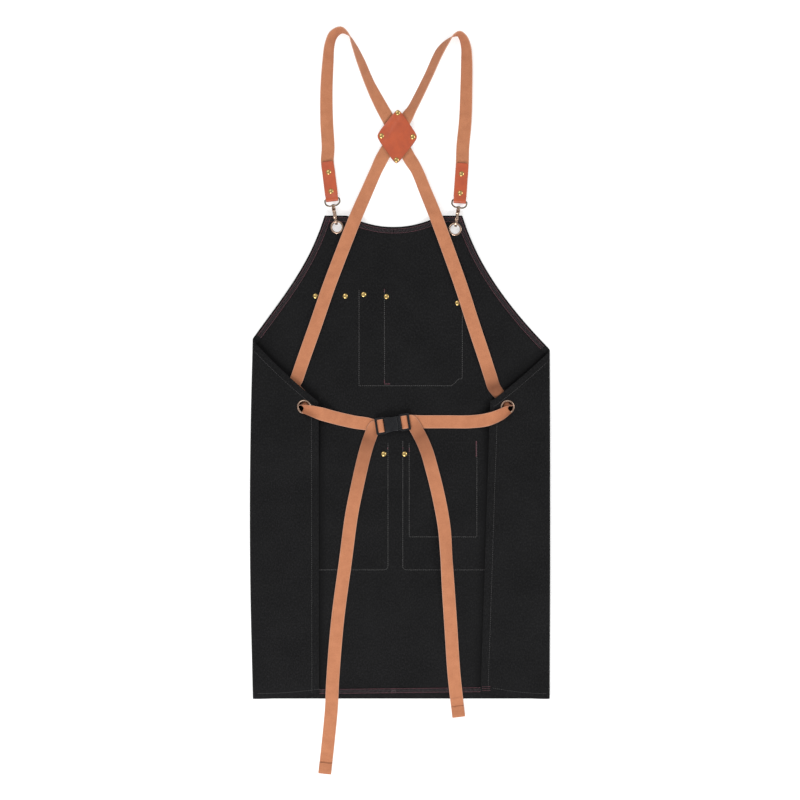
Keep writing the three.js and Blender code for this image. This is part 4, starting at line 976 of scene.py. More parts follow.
@dataclass
class ApronCloth:
    """The cut canvas with its turned hems and its grommet holes; the overlocking on its edges is sewn by Sewing."""

    finishes: Finishes
    drape: Drape = DRAPE
    bib_columns: tuple = (18, 9)
    wing_columns: int = 30
    fold_columns: int = 10
    panel_columns: int = 26
    rows: int = 190
    flat: tuple = (0.68, 0.76)
    cut_area: float = 0.433
    hem_width: float = 9.6
    bottom_hem: float = 15.6
    side_hem: float = 13.0
    hem_thickness: float = 0.75
    bib_hole: float = 8.7
    waist_hole: float = 9.3
    waist_middle: float = 10.45
    hole_depth: float = 4.4
    hole_sides: int = 40

    def columns(self) -> list[tuple[int, float]]:
        """The zone and the share of it that each column of the grid stands on, from the middle line out."""
        neck = self.drape.neck_half / self.drape.bib_half
        inner, outer = self.bib_columns
        table = [(0, neck * k / inner) for k in range(1, inner + 1)]
        table += [(0, neck + (1 - neck) * k / outer) for k in range(1, outer + 1)]
        for zone, count in ((1, self.wing_columns), (2, self.fold_columns), (3, self.panel_columns)):
            table += [(zone, k / count) for k in range(1, count + 1)]
        return table

    def flat_half(self, side: Side, zone: Points, share: Points, y: Points) -> Points:
        """A column's flat distance from the middle line at a place along the cloth."""
        start, turned, edge = self.drape.spans(side, y)
        marks = np.stack([np.zeros_like(start), np.full_like(start, self.drape.bib_half), start, turned, edge])
        low = np.choose(zone, marks[:-1])
        return low + (np.choose(zone, marks[1:]) - low) * share

    def lay(self, side: Side, zone: Points, share: Points, row: Points) -> tuple[Points, Points]:
        """Places vertices of one half by zone, share of the zone and share of the column's height."""
        drape = self.drape
        y = np.full(np.shape(row), -float(drape.armhole_drop))
        for _ in range(SETTLING_STEPS):
            half = self.flat_half(side, zone, share, y)
            y = drape.top_edge(half) - drape.slide(side, half, y)
        rise = np.where(zone == 3, drape.hem_rise[side] * share**2, 0)
        low = rise - drape.height
        along = low + (y - low) * row
        half = self.flat_half(side, zone, share, along)
        return drape.place(side, half, along), np.stack([side.value * half, along], -1)

    def shade(self, spot: Points, zone: Points) -> Points:
        """How much the folded-in panels shade the main layer beside their edges."""
        x, y = np.abs(spot[:, 0]), spot[:, 1]
        found = np.zeros(len(spot))
        for side in Side:
            here = (np.sign(spot[:, 0]) == side.value) & (zone < 2)
            start, turned, _ = self.drape.spans(side, y)
            rim = self.drape.top_edge(turned + start - x) - self.drape.panel_drop[side]
            inner = self.drape.panel_edge(side, y) - x
            above = near(y - rim, 0, 34) * (inner < 0)
            beside = near(inner, 0, 15) * (inner >= 0) * (y < -self.drape.armhole_drop)
            found = np.where(here, np.maximum(above * 0.7, beside * 0.75), found)
        return found

    def build_sheet(self) -> bpy.types.Object:
        """Lays the grid over both halves, gives it its thickness and cuts the grommet holes."""
        table = self.columns()
        count = len(table)
        shades = []

        def place(i: Points, j: Points) -> tuple[Points, Points]:
            """Places each vertex by its column and row number."""
            steps = np.abs(i - count)
            zone = np.array([0] + [z for z, _ in table])[steps]
            share = np.array([0.0] + [s for _, s in table])[steps]
            row = j / self.rows
            left, left_cut = self.lay(Side.LEFT, zone, share, row)
            right, right_cut = self.lay(Side.RIGHT, zone, share, row)
            on_left = (i < count)[:, None]
            spot, cut = np.where(on_left, left, right), np.where(on_left, left_cut, right_cut)
            shades.append(self.shade(spot, zone))
            return spot, cut

        sheet = woven_grid("apron_cloth", 2 * count, self.rows, place)
        set_shade(sheet, shades[0])
        modify(sheet, "SOLIDIFY", thickness=self.drape.cloth * MM, offset=0)
        tools = []
        for spots, radius, middle in ((self.drape.bib_grommet, self.bib_hole, self.drape.bib_middle),
                                      (self.drape.waist_grommet, self.waist_hole, self.waist_middle)):
            for x, y in spots.values():
                centre = world(np.array([x, y, middle]))
                deselect()
                bpy.ops.mesh.primitive_cylinder_add(vertices=self.hole_sides, radius=radius * MM,
                                                    depth=self.hole_depth * MM, location=centre)
                tools.append(bpy.context.object)
        carve(sheet, joined("hole_tool", tools))
        smooth(sheet, 50)
        return sheet

    def edge_line(self, side: Side, start: float, end: float, step: float = 3.0) -> Points:
        """Flat points of the top edge, from one distance off the middle line to another."""
        half = np.linspace(start, end, max(2, int(abs(end - start) / step) + 1))
        y = np.full(half.shape, -150.0)
        for _ in range(SETTLING_STEPS):
            y = self.drape.top_edge(half) - self.drape.slide(side, half, y)
        return np.stack([half, y], -1)

    def hem_strip(self, name: str, side: Side, line: Points, inward: float, width: float,
                  lift: float = 0.0) -> bpy.types.Object:
        """Turns the cloth's edge over along a flat line.

        Args:
            name: The piece's name.
            side: The half that the line is on.
            line: Its flat points, from the middle line and from the bib's top.
            inward: One or minus one, for the side of the line that the hem lies on.
            width: How wide it is turned.
            lift: How far it stands above the cloth's face.

        Returns:
            The hem, as a closed strip.
        """
        thick = self.hem_thickness
        face = self.drape.cloth / 2 + lift
        section = [(-0.15, -0.5), (-0.5, 0.1), (-0.45, face + thick * 0.5), (0.1, face + thick * 0.95),
                   (1.2, face + thick * 1.05), (width * 0.5, face + thick), (width - 1.0, face + thick),
                   (width - 0.25, face + thick * 0.75), (width, face + thick * 0.3), (width - 0.1, face - 0.05),
                   (width * 0.5, face - 0.1), (0.2, face - 0.2)]
        run = np.gradient(line, axis=0)
        normal = np.stack([-run[:, 1], run[:, 0]], -1) * inward
        normal /= np.linalg.norm(normal, axis=1, keepdims=True)

        def place(i: Points, j: Points) -> tuple[Points, Points]:
            """Places each vertex of the section at each step of the line."""
            turn = i % len(section)
            across = np.array([s[0] for s in section])[turn]
            height = np.array([s[1] for s in section])[turn]
            spot = line[j] + normal[j] * across[:, None]
            half = np.abs(spot[:, 0])
            return self.drape.place(side, half, spot[:, 1], height), spot + np.array([0.0, 400.0])

        strip = woven_grid(name, len(section), len(line) - 1, place)
        self.close_ends(strip)
        return strip

    @staticmethod
    def close_ends(strip: bpy.types.Object) -> None:
        """Merges a wrapped strip's seam and fills its two open ends."""
        tidy_faces(strip, 1e-6)
        with editing():
            bpy.ops.mesh.select_all(action="DESELECT")
            bpy.ops.mesh.select_mode(type="EDGE")
            bpy.ops.mesh.select_non_manifold()
            bpy.ops.mesh.edge_face_add()
        tidy_faces(strip, 1e-6)
        smooth(strip, 50)

    def build(self) -> bpy.types.Object:
        """Builds and dresses the cloth and its hems."""
        sheet = finish_piece(self.build_sheet(), self.finishes.canvas, stands_for=["canvas_body"])
        hems = []
        drape = self.drape
        for side in Side:
            edge = float(drape.spans(side, ARMHOLE_LEVEL)[2])
            neck = self.edge_line(side, 0, drape.bib_half)
            armhole = self.edge_line(side, drape.bib_half, edge)
            hem = self.hem_strip(f"neck_hem_{side.word}", side, neck, -1, self.hem_width)
            hems.append(hem)
            hems.append(self.hem_strip(f"armhole_hem_{side.word}", side, armhole, -1, self.hem_width, 0.12))
            rise = drape.hem_rise[side]
            bottom = np.linspace(-drape.height + rise, -drape.armhole_drop - drape.panel_drop[side], 100)
            side_edge = np.stack([drape.spans(side, bottom)[2], bottom], -1)
            hems.append(self.hem_strip(f"side_hem_{side.word}", side, side_edge, 1, self.side_hem))
            low = np.linspace(0, float(drape.spans(side, HEM_LEVEL)[0]), 70)
            low_edge = np.stack([low, np.full(low.shape, -drape.height)], -1)
            hems.append(self.hem_strip(f"bottom_hem_{side.word}", side, low_edge, 1, self.bottom_hem))
        for hem in hems:
            finish_piece(hem, self.finishes.canvas)
        return sheet


# The harness


@dataclass(frozen=True)
class Station:
    """One place of a strap: its middle, its roll in degrees, the share of its width, the way across it, and its
    painted shade.
    """

    at: Points
    roll: float = 0.0
    width: float = 1.0
    across: Points | None = None
    shade: float = 0.0


@dataclass(frozen=True)
class ClipPlan:
    """Where the snap hooks, their loops and the leather tabs stand."""

    length: float = 28.4
    height: float = 15.5
    wire: float = 3.2
    width: float = 5.5
    tip: float = 4
    floor: float = 0.4
    collar: float = 3.2
    loop_width: float = 25.7
    loop_depth: float = 14.6
    loop_wire: float = 2.5
    loop_side: float = 5
    turn: dict = sides(10.3, -9.3)
    tab_length: float = 60
    tab_width: float = 19.5
    tab_corner: float = 5
    tab_rivets: tuple = (12, 42.5)
    tab_bar: float = 6
    tab_fold: float = 2.5
    tab_turn: dict = sides(7, -4)
    grommet_hole: float = 7.5

    @property
    def axis_height(self) -> float:
        """The height of the hook's middle."""
        return self.floor + self.height / 2

    @property
    def bar_x(self) -> float:
        """Where the loop's bar is, along the clip."""
        return self.loop_wire / 2 - self.loop_depth

    @property
    def tilt(self) -> float:
        """The loop's tilt down to the tab, in radians."""
        return math.asin((self.axis_height - self.tab_bar) / -self.bar_x)

    @property
    def tab_inside(self) -> float:
        """From the tab's middle plane to its leather."""
        return DRAPE.web / 2 + DRAPE.gap

    @property
    def tab_slope(self) -> float:
        """The tab's slope down from the bar to its end, in radians."""
        end = self.tab_inside + DRAPE.leather + 2 * DRAPE.gap
        return math.asin((self.tab_bar - end) / self.tab_length)

    def base(self, side: Side) -> Vector:
        """The hook's swivel end, in millimetres."""
        reach = self.length - self.wire - 2 * DRAPE.gap + self.grommet_hole
        turn = math.radians(self.turn[side])
        x, y = DRAPE.bib_grommet[side]
        return Vector((x - math.sin(turn) * reach, y + math.cos(turn) * reach, self.axis_height))

    def clip_matrix(self, side: Side) -> Matrix:
        """The clip's own frame in millimetres: X runs towards the grommet."""
        return Matrix.Translation(self.base(side)) @ Matrix.Rotation(
            math.radians(self.turn[side]) - math.pi / 2, 4, "Z")

    def bar(self, side: Side) -> Vector:
        """The middle of the loop's bar, in millimetres."""
        away = -self.bar_x * math.cos(self.tilt)
        turn = math.radians(self.turn[side])
        at = self.base(side) + Vector((-math.sin(turn) * away, math.cos(turn) * away, 0))
        at.z = self.tab_bar
        return at

    def tab_matrix(self, side: Side) -> Matrix:
        """The tab's own frame in millimetres: X runs from the bar towards the shoulder."""
        turn = Matrix.Rotation(math.radians(self.tab_turn[side]) + math.pi / 2, 4, "Z")
        return Matrix.Translation(self.bar(side)) @ turn @ Matrix.Rotation(self.tab_slope, 4, "Y")


CLIP = ClipPlan()


def in_place(matrix: Matrix) -> Matrix:
    """Takes a millimetre frame of the cloth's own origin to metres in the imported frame."""
    moved = matrix.copy()
    moved.translation = (matrix.translation + Vector(SHIFT)) * MM
    return moved


@dataclass(frozen=True)
class PatchPlan:
    """The two leather diamonds at the crossing, and the straps between them."""

    x: float = 5.8
    y: float = 125
    half_width: float = 32.8
    half_height: float = 44.2
    turn: float = -1.7
    floor: float = 1.1
    angle: dict = sides(28.4, 31.3)
    shift: dict = sides(1, -3.3)
    spots: tuple = (35, 15, -16, -38)
    lean: dict = sides(-174, 163)

    def strap_height(self, side: Side) -> float:
        """The height of a strap's middle: the left one runs below the right one."""
        lower = DRAPE.leather + DRAPE.gap + DRAPE.web / 2
        return self.floor + lower + (DRAPE.web + DRAPE.gap if side is Side.RIGHT else 0)

    @property
    def top(self) -> float:
        """The underside of the upper leather."""
        return self.strap_height(Side.RIGHT) + DRAPE.web / 2 + DRAPE.gap

    def crossing(self, side: Side) -> list[Station]:
        """The stations between the leathers."""
        turn = math.radians(self.angle[side])
        rolls = (self.lean[side], *(180 for _ in self.spots[1:]))
        return [Station(np.array([self.x + self.shift[side] + side.value * math.sin(turn) * spot,
                                  self.y + math.cos(turn) * spot, self.strap_height(side)]), roll)
                for spot, roll in zip(self.spots, rolls)]


PATCH = PatchPlan()


@dataclass(frozen=True)
class BucklePlan:
    """The side-release buckle's place and its ladders."""

    x: float = -1.3
    y: float = -327.6
    turn: float = 9
    half: float = 13.2
    width: float = 24
    thickness: float = 8.5
    slot: float = 3
    bar: float = 5
    outer_slot: float = 3.2
    outer_bar: float = 3
    rail: float = 2.4
    play: float = 0.6
    ladder: float = 3

    @property
    def height(self) -> float:
        """The height of the buckle's middle."""
        return DRAPE.plateau + DRAPE.cloth + 3 * DRAPE.laid_gap + 2 * DRAPE.web + self.ladder / 2

    @property
    def end(self) -> float:
        """From the middle to the ladder's end."""
        return self.half + self.slot + self.bar + self.outer_slot + self.outer_bar

    def matrix(self) -> Matrix:
        """The buckle's own frame in millimetres: X runs along it to the right."""
        return Matrix.Translation((self.x, self.y, self.height)) @ Matrix.Rotation(math.radians(self.turn), 4, "Z")

    def station(self, side: Side, x: float, z: float) -> Station:
        """A strap's place at the buckle."""
        matrix = self.matrix()
        at = matrix @ Vector((side.value * x, 0, z))
        across = matrix.to_3x3() @ Vector((0, side.value, 0))
        return Station(np.array(at), 0, 1, np.array(across))

    def threaded(self, side: Side) -> list[Station]:
        """Under both bars, up and over the inner one, and out below the outer one."""
        half, web = self.ladder / 2, DRAPE.web / 2
        tail = -half - DRAPE.laid_gap - web
        under = tail - DRAPE.laid_gap - DRAPE.web
        over = half + DRAPE.laid_gap + web
        slot = self.half + self.slot / 2
        bar = self.half + self.slot + self.bar / 2
        outer = self.half + self.slot + self.bar + self.outer_slot / 2
        rows = ((self.end - 2, under), (bar, under + 0.1), (slot + 0.9, under + 1.1), (slot, tail + 1.2),
                (slot, 0.8), (slot + 0.7, over - 0.4), (bar, over + 0.3), (outer - 0.7, over - 0.4),
                (outer, 0.8), (outer + 0.4, tail + 1), (outer + 1.8, tail + 0.15), (self.end + 1, tail))
        return [self.station(side, x, z) for x, z in rows]


BUCKLE = BucklePlan()


@dataclass(frozen=True)
class Route:
    """The way of one strap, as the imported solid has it: tab, shoulder, patch, leg, grommet, waist, buckle, tail."""

    half: float = 110
    rise: float = 171
    leg_run: float = 400
    leg_spread: dict = sides(165, 154.5)
    leg_lift: tuple = (1.8, 0.8)
    tail_drop: dict = sides(546, 465)
    tail_spread: dict = sides(80, 77)
    exit_step: dict = sides((-1.05, 1.5), (-0.4, 1.7))
    hole: float = 8.1
    flange: float = 1.1
    edge_over: float = 5
    edge_down: float = 30
    sag: dict = sides(
        (-3.6, -3.8, ((0.7, -2.4), (0.87, 0))),
        (-15, -14.7, ((0.64, -8.6), (0.865, -3.5))))
    shoulder: dict = sides(
        ((0.99, -0.1, 0), (1.01, 0.15, -12), (1.012, 0.43, -22), (0.99, 0.69, -34), (0.965, 0.845, -46),
         (0.91, 0.935, -52), (0.8, 0.975, -68), (0.695, 0.935, -90), (0.622, 0.845, -111),
         (0.52, 0.69, -130), (0.388, 0.48, -139), (0.22, 0.27, -165)),
        ((0.94, -0.1, 0), (0.976, 0.15, -14), (0.99, 0.43, -24), (0.995, 0.69, -32), (0.985, 0.82, -44),
         (0.945, 0.9, -56), (0.885, 0.94, -72), (0.81, 0.925, -90), (0.71, 0.865, -117),
         (0.61, 0.78, -132), (0.44, 0.545, -131), (0.21, 0.25, -137)))
    # Each leg row: how far down, how far out, the roll, and the painted shade where the strap runs under the panel.
    leg: tuple = ((0.13, 0.197, 28, 0), (0.22, 0.294, 20, 0), (0.31, 0.387, 10, 0), (0.45, 0.522, 0, 0),
                  (0.595, 0.656, 0, 0), (0.737, 0.774, 0, 0), (0.878, 0.895, 0, 0), (0.95, 0.955, 0, 0.3),
                  (0.985, 0.985, 0, 0.8))
    # Painted shade on the first tail rows, where the tail comes out from under the buckle's bar.
    tail_shade: tuple = (0.6, 0.38, 0.12)
    tail: dict = sides(
        ((0.038, 0.127, 0), (0.081, 0.216, 0), (0.168, 0.353, 0), (0.254, 0.47, 0), (0.384, 0.588, 0),
         (0.558, 0.745, 0), (0.731, 0.843, 0), (0.81, 0.868, 0), (0.9, 0.925, 0), (1, 1, 0)),
        ((0.052, 0.214, 0), (0.103, 0.347, 0), (0.155, 0.439, 0), (0.258, 0.592, 0), (0.361, 0.702, 12),
         (0.464, 0.747, 24), (0.567, 0.786, 8), (0.7, 0.84, 0), (0.85, 0.9, 0), (0.945, 0.96, 0),
         (1, 1, 0)))

    @staticmethod
    def rest_height(roll: float) -> float:
        """The middle height of webbing that leans by a roll on its edge."""
        turn = math.radians(roll)
        return (DRAPE.web_width * abs(math.sin(turn)) + DRAPE.web * abs(math.cos(turn))) / 2

    def laid(self, x: float, y: float, roll: float = 0.0, lift: float = DRAPE.laid_gap) -> float:
        """The middle height of webbing that lies on the cloth, or beyond its edge on the floor."""
        reach = DRAPE.web_width / 2
        spots = np.array([[0, 0], [reach, 0], [-reach, 0], [0, reach], [0, -reach]]) + (x, y)
        top = float(DRAPE.top(spots[:, 0], spots[:, 1]).max()) + lift
        beyond = max(y - float(DRAPE.top_edge(np.float64(abs(x)))), -DRAPE.height - y)
        return max(top * float(near(beyond, *DRAPE.fall)), DRAPE.gap) + self.rest_height(roll)

    def from_tab(self, side: Side) -> list[Station]:
        """Inside the leather tab."""
        matrix = CLIP.tab_matrix(side)
        spots = (2.6 * CLIP.tab_fold, CLIP.tab_length * 0.3, CLIP.tab_length * 0.65, CLIP.tab_length)
        return [Station(np.array(matrix @ Vector((x, 0, 0)))) for x in spots]

    def over_shoulder(self, side: Side) -> list[Station]:
        """The shoulder loop with its half twist."""
        sign = side.value
        return [Station(np.array([PATCH.x + sign * out * self.half, PATCH.y + up * self.rise,
                                  self.rest_height(roll) + DRAPE.laid_gap]), -sign * roll)
                for out, up, roll in self.shoulder[side]]

    def down_leg(self, side: Side) -> list[Station]:
        """From the patch down to the waist grommet."""
        found = []
        for down, out, roll, shade in self.leg:
            x = PATCH.x + side.value * out * self.leg_spread[side]
            y = PATCH.y - down * self.leg_run
            under = y < DRAPE.waist_grommet[side][1] + DRAPE.strap_zone[0] * 1.5
            at = np.array([x, y, self.laid(x, y, roll, self.leg_lift[int(under)])])
            found.append(Station(at, 180 - side.value * roll, shade=shade))
        return found

    def through_grommet(self, side: Side) -> list[Station]:
        """Up through the waist grommet, curled to fit its hole, and back over the panel."""
        sign = side.value
        along = np.array([-0.465 * sign, -0.885, 0])
        out = np.array([0.885 * sign, -0.465, 0])
        x, y = DRAPE.waist_grommet[side]
        middle = float(DRAPE.panel_middle(side, np.float64(x), np.float64(y)))
        away = DRAPE.cloth / 2 + DRAPE.gap + self.flange + DRAPE.laid_gap + DRAPE.web / 2
        exit_out, exit_along = self.exit_step[side]
        rows = ((-0.95, -0.75, middle - away - 0.4, 0.8), (-0.15, -0.1, middle - away - 0.1, 0.58),
                (0.36, 0, middle, 0.56), (0.4, 0.1, middle + away + 0.1, 0.6),
                (exit_out, exit_along, middle + away + 0.5, 0.85))
        found = []
        for i, (far, down, z, width) in enumerate(rows):
            at = np.array([x, y, 0]) + out * far * self.hole + along * down * self.hole + np.array([0, 0, z])
            inside = 0 < i < len(rows) - 1
            across = -sign * along if inside else None
            # Painted shade of 0.5 below and inside the grommet's hole, 0.1 where the strap comes out over the panel.
            found.append(Station(at, 180 if i == 0 else 0, width, across, 0.5 if i < len(rows) - 2 else 0.1))
        return found

    def along_waist(self, side: Side) -> list[Station]:
        """Over the panel's edge to the buckle."""
        sign = side.value
        gx, gy = DRAPE.waist_grommet[side]
        end = BUCKLE.station(side, BUCKLE.end - 2, 0).at
        edge = sign * float(DRAPE.panel_edge(side, np.float64(gy)))
        edge_sag, laid_sag, rest = self.sag[side]
        rows = [((edge - sign * self.edge_over - gx) / (end[0] - gx), edge_sag, True),
                ((edge - sign * self.edge_down - gx) / (end[0] - gx), laid_sag, False)]
        rows += [(share, sag, False) for share, sag in rest]
        found = []
        for share, sag, on_panel in rows:
            x, y = gx + (end[0] - gx) * share, gy + (end[1] - gy) * share + sag
            panel = float(DRAPE.panel_middle(side, np.float64(x), np.float64(y)))
            top = panel + DRAPE.cloth / 2 + DRAPE.laid_gap + DRAPE.web / 2
            found.append(Station(np.array([x, y, top if on_panel else self.laid(x, y)])))
        return found

    def down_tail(self, side: Side) -> list[Station]:
        """The loose tail below the buckle."""
        start = BUCKLE.station(side, BUCKLE.end, 0).at
        found = []
        for i, (down, out, roll) in enumerate(self.tail[side]):
            x = start[0] + side.value * out * self.tail_spread[side]
            y = start[1] - down * self.tail_drop[side]
            over = DRAPE.web + DRAPE.laid_gap if i == 0 else 0
            at = np.array([x, y, self.laid(x, y, roll) + over])
            found.append(Station(at, 180 + roll, shade=self.tail_shade[i] if i < len(self.tail_shade) else 0))
        return found + self.turned_end(found[-2].at, found[-1].at)

    @staticmethod
    def turned_end(before: Points, end: Points) -> list[Station]:
        """The end of the tail, folded up and back on itself."""
        heading = (end - before) * (1, 1, 0)
        heading /= np.linalg.norm(heading)
        across = np.array([-heading[1], heading[0], 0])
        step = DRAPE.web + 0.12
        rows = ((-0.6, 0), (0.25, 0.25), (0.5, 0.5), (0.25, 0.75), (-0.6, 1), (-8, 1), (-16, 1))
        # The folded-back end carries a little painted shade.
        return [Station(end + heading * along + np.array([0, 0, up * step]), 0, 1, across, 0.12)
                for along, up in rows]

    def stations(self, side: Side) -> list[Station]:
        """The whole strap whose tab is on this side and whose tail is on the other."""
        far = side.other
        return (self.from_tab(side) + self.over_shoulder(side) + PATCH.crossing(side) + self.down_leg(far)
                + self.through_grommet(far) + self.along_waist(far) + BUCKLE.threaded(far) + self.down_tail(far))


@dataclass
class Strap:
    """One run of cotton webbing, woven flat and swept along its route."""

    side: Side
    finishes: Finishes
    step: float = 3.0
    corner: float = 0.55

    def section(self) -> Points:
        """The webbing's cross-section: how far across, and up from its middle."""
        half, web, corner = DRAPE.web_width / 2, DRAPE.web / 2, self.corner
        upper = [(-half, 0.0), (-half + corner * 0.3, web * 0.75), (-half + corner * 1.6, web)]
        upper += [(x * half, web) for x in (-0.6, -0.3, 0.0, 0.3, 0.6)]
        upper += [(half - corner * 1.6, web), (half - corner * 0.3, web * 0.75)]
        return np.array(upper + [(-x, -z) for x, z in upper])

    @staticmethod
    def spline(points: Points, knots: Points, values: Points, at: int, share: Points) -> Points:
        """A curve through values at uneven knots, between two neighbours.

        Args:
            points: The stations' places, for the length of the list.
            knots: The knots between neighbours.
            values: The values at the stations.
            at: The number of the first neighbour.
            share: How far along from it to the next one.

        Returns:
            A row for each share.
        """
        last = len(points) - 1
        x1, x2 = values[at], values[at + 1]
        x0 = values[at - 1] if at > 0 else 2 * x1 - x2
        x3 = values[at + 2] if at + 2 <= last else 2 * x2 - x1
        d1 = knots[at]
        d0 = knots[at - 1] if at > 0 else d1
        d2 = knots[at + 1] if at + 1 < last else d1
        t1 = ((x1 - x0) / d0 - (x2 - x0) / (d0 + d1) + (x2 - x1) / d1) * d1
        t2 = ((x2 - x1) / d1 - (x3 - x1) / (d1 + d2) + (x3 - x2) / d2) * d1
        t = share[:, None]
        return x1 + t1 * t + (3 * (x2 - x1) - 2 * t1 - t2) * t**2 + (2 * (x1 - x2) + t1 + t2) * t**3

    def frames(self, stations: Sequence[Station]) -> tuple[Points, Points, Points, Points, Points]:
        """Runs a smooth line through the stations.

        Args:
            stations: The strap's places in order.

        Returns:
            The middle, the heading, the way across, the share of the width and the shade at each step.
        """
        points = np.array([s.at for s in stations])
        across = []
        for i, station in enumerate(stations):
            if station.across is not None:
                across.append(station.across)
                continue
            run = points[min(i + 1, len(points) - 1)] - points[max(i - 1, 0)]
            run[2] = 0
            run /= np.linalg.norm(run)
            turn = math.radians(station.roll)
            across.append(np.array([run[1], -run[0], 0]) * math.cos(turn) + np.array([0, 0, math.sin(turn)]))
        across = np.array(across)
        widths = np.array([[s.width, s.shade] for s in stations])
        knots = np.sqrt(np.linalg.norm(np.diff(points, axis=0), axis=1))
        middles, ways, shares = [], [], []
        for i in range(len(points) - 1):
            span = np.linalg.norm(points[i + 1] - points[i])
            count = max(2, int(math.ceil(span / self.step)))
            share = np.arange(count + (i == len(points) - 2)) / count
            middles.append(self.spline(points, knots, points, i, share))
            eased = share[:, None]
            ways.append(across[i] + (across[i + 1] - across[i]) * eased)
            shares.append(widths[i] + (widths[i + 1] - widths[i]) * eased)
        middle = np.concatenate(middles)
        way = np.concatenate(ways)
        for _ in range(3):
            way[1:-1] = (way[:-2] + way[1:-1] * 2 + way[2:]) / 4
        heading = np.gradient(middle, axis=0)
        heading /= np.linalg.norm(heading, axis=1, keepdims=True)
        way -= heading * np.sum(way * heading, axis=1, keepdims=True)
        way /= np.linalg.norm(way, axis=1, keepdims=True)
        return middle, heading, way, *np.concatenate(shares).T

    @staticmethod
    def curl(across: Points, share: Points) -> tuple[Points, Points]:
        """Rolls flat places across the webbing into an arc whose chord is a share of the width.

        Args:
            across: The places from the middle, in millimetres.
            share: The chord as a share of the flat width.

        Returns:
            The places along the chord and above it.
        """
        turn = np.sqrt(np.clip(6 * (1 - share), 1e-6, None)) * (1 + 0.09 * (1 - share))
        radius = DRAPE.web_width / 2 / turn
        angle = across / radius
        return radius * np.sin(angle), radius * (1 - np.cos(angle)) - radius * (1 - np.cos(turn)) * 0.5

    def build_webbing(self, name: str, stations: Sequence[Station]) -> bpy.types.Object:
        """Sweeps the section along the stations."""
        middle, heading, way, share, shade = self.frames(stations)
        rise = np.cross(way, heading)
        section = self.section()
        reach = np.concatenate([[0], np.cumsum(np.linalg.norm(np.diff(middle, axis=0), axis=1))])

        def place(i: Points, j: Points) -> tuple[Points, Points]:
            """Places each vertex of the section at each step."""
            across, up = section[i % len(section)].T
            aside, over = self.curl(across, share[j])
            spot = middle[j] + way[j] * aside[:, None] + rise[j] * (over + up)[:, None]
            return spot, np.stack([across, reach[j]], -1)

        strap = woven_grid(name, len(section), len(middle) - 1, place)
        set_shade(strap, np.repeat(shade, len(section) + 1))
        ApronCloth.close_ends(strap)
        return strap

    def build(self) -> bpy.types.Object:
        """Builds and dresses the strap."""
        strap = self.build_webbing(f"webbing_{self.side.word}", Route().stations(self.side))
        far = self.side.other.word
        nodes = [f"shoulder_strap_{self.side.word}", f"leg_strap_{far}", f"waist_strap_{far}"]
        finish_piece(strap, self.finishes.webbing, stands_for=nodes)
        self.sew_end(far)
        return strap

    def sew_end(self, far: str) -> None:
        """Sews the turned end down, a row of stitches across the tail."""
        end = Route().down_tail(self.side.other)[-1]
        heading = np.cross(end.across, UP)
        row = end.at - heading * 13.5 + np.array([0, 0, DRAPE.web / 2 + 0.05])
        reach = DRAPE.web_width / 2 - 1.2
        line = row + end.across * np.linspace(-reach, reach, 12)[:, None]
        stitch = Stitch(pitch=2.4, length=1.9, radius=0.3)
        sewn = stitch.sew(f"tail_stitches_{far}", stitch.run(line, UP))
        finish_piece(sewn, self.finishes.tan_thread)


# Small parts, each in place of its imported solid

ALONG_X = Matrix.Rotation(math.pi / 2, 4, "Y")
SIDE_VIEW = Matrix.Rotation(math.pi / 2, 4, "X")


def box_mm(node: str) -> tuple[Points, Points]:
    """A node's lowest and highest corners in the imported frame's millimetres."""
    low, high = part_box(node)
    return np.array(low) / MM, np.array(high) / MM


def tint(piece: bpy.types.Object, material: bpy.types.Material,
         chosen: Callable[[Vector, Vector], bool]) -> None:
    """Gives some faces a second finish, chosen by their middle and their normal."""
    piece.data.materials.append(material)
    for face in piece.data.polygons:
        if chosen(face.center, face.normal):
            face.material_index = 1


def curved(points: Pairs, steps: int = 5) -> Points:
    """Draws a smooth line through points, with the same number of steps between each two."""
    p = np.array(points, float)
    p = np.vstack([2 * p[0] - p[1], p, 2 * p[-1] - p[-2]])
    t = (np.arange(steps) / steps)[:, None]
    parts = [b + 0.5 * ((c - a) * t + (2 * a - 5 * b + 4 * c - d) * t**2 + (3 * b - a - 3 * c + d) * t**3)
             for a, b, c, d in zip(p, p[1:], p[2:], p[3:])]
    return np.vstack([*parts, p[-2:-1]])


def band(line: Points, half: float) -> Points:
    """The outline of a bar that follows a line, from half its thickness."""
    run = np.gradient(line, axis=0)
    normal = np.stack([-run[:, 1], run[:, 0]], -1) / np.linalg.norm(run, axis=1, keepdims=True)
    return np.vstack([line + normal * half, (line - normal * half)[::-1]])


def rounded(left: float, right: float, half: float, corner: float) -> list[tuple[float, float]]:
    """A rectangle about the X axis with round corners."""
    points = []
    for k, (x, y) in enumerate(((right, half), (left, half), (left, -half), (right, -half))):
        middle = (x - corner * math.copysign(1, x - (left + right) / 2), y - corner * math.copysign(1, y))
        for step in range(5):
            turn = math.pi / 2 * (k + step / 4)
            points.append((middle[0] + corner * math.cos(turn), middle[1] + corner * math.sin(turn)))
    return points


def block(name: str, x: Sequence[float], y: Sequence[float], z: Sequence[float]) -> bpy.types.Object:
    """A square-edged tool for carving, from its three ranges."""
    return plate(name, [(x[0], y[0]), (x[1], y[0]), (x[1], y[1]), (x[0], y[1])], *z)


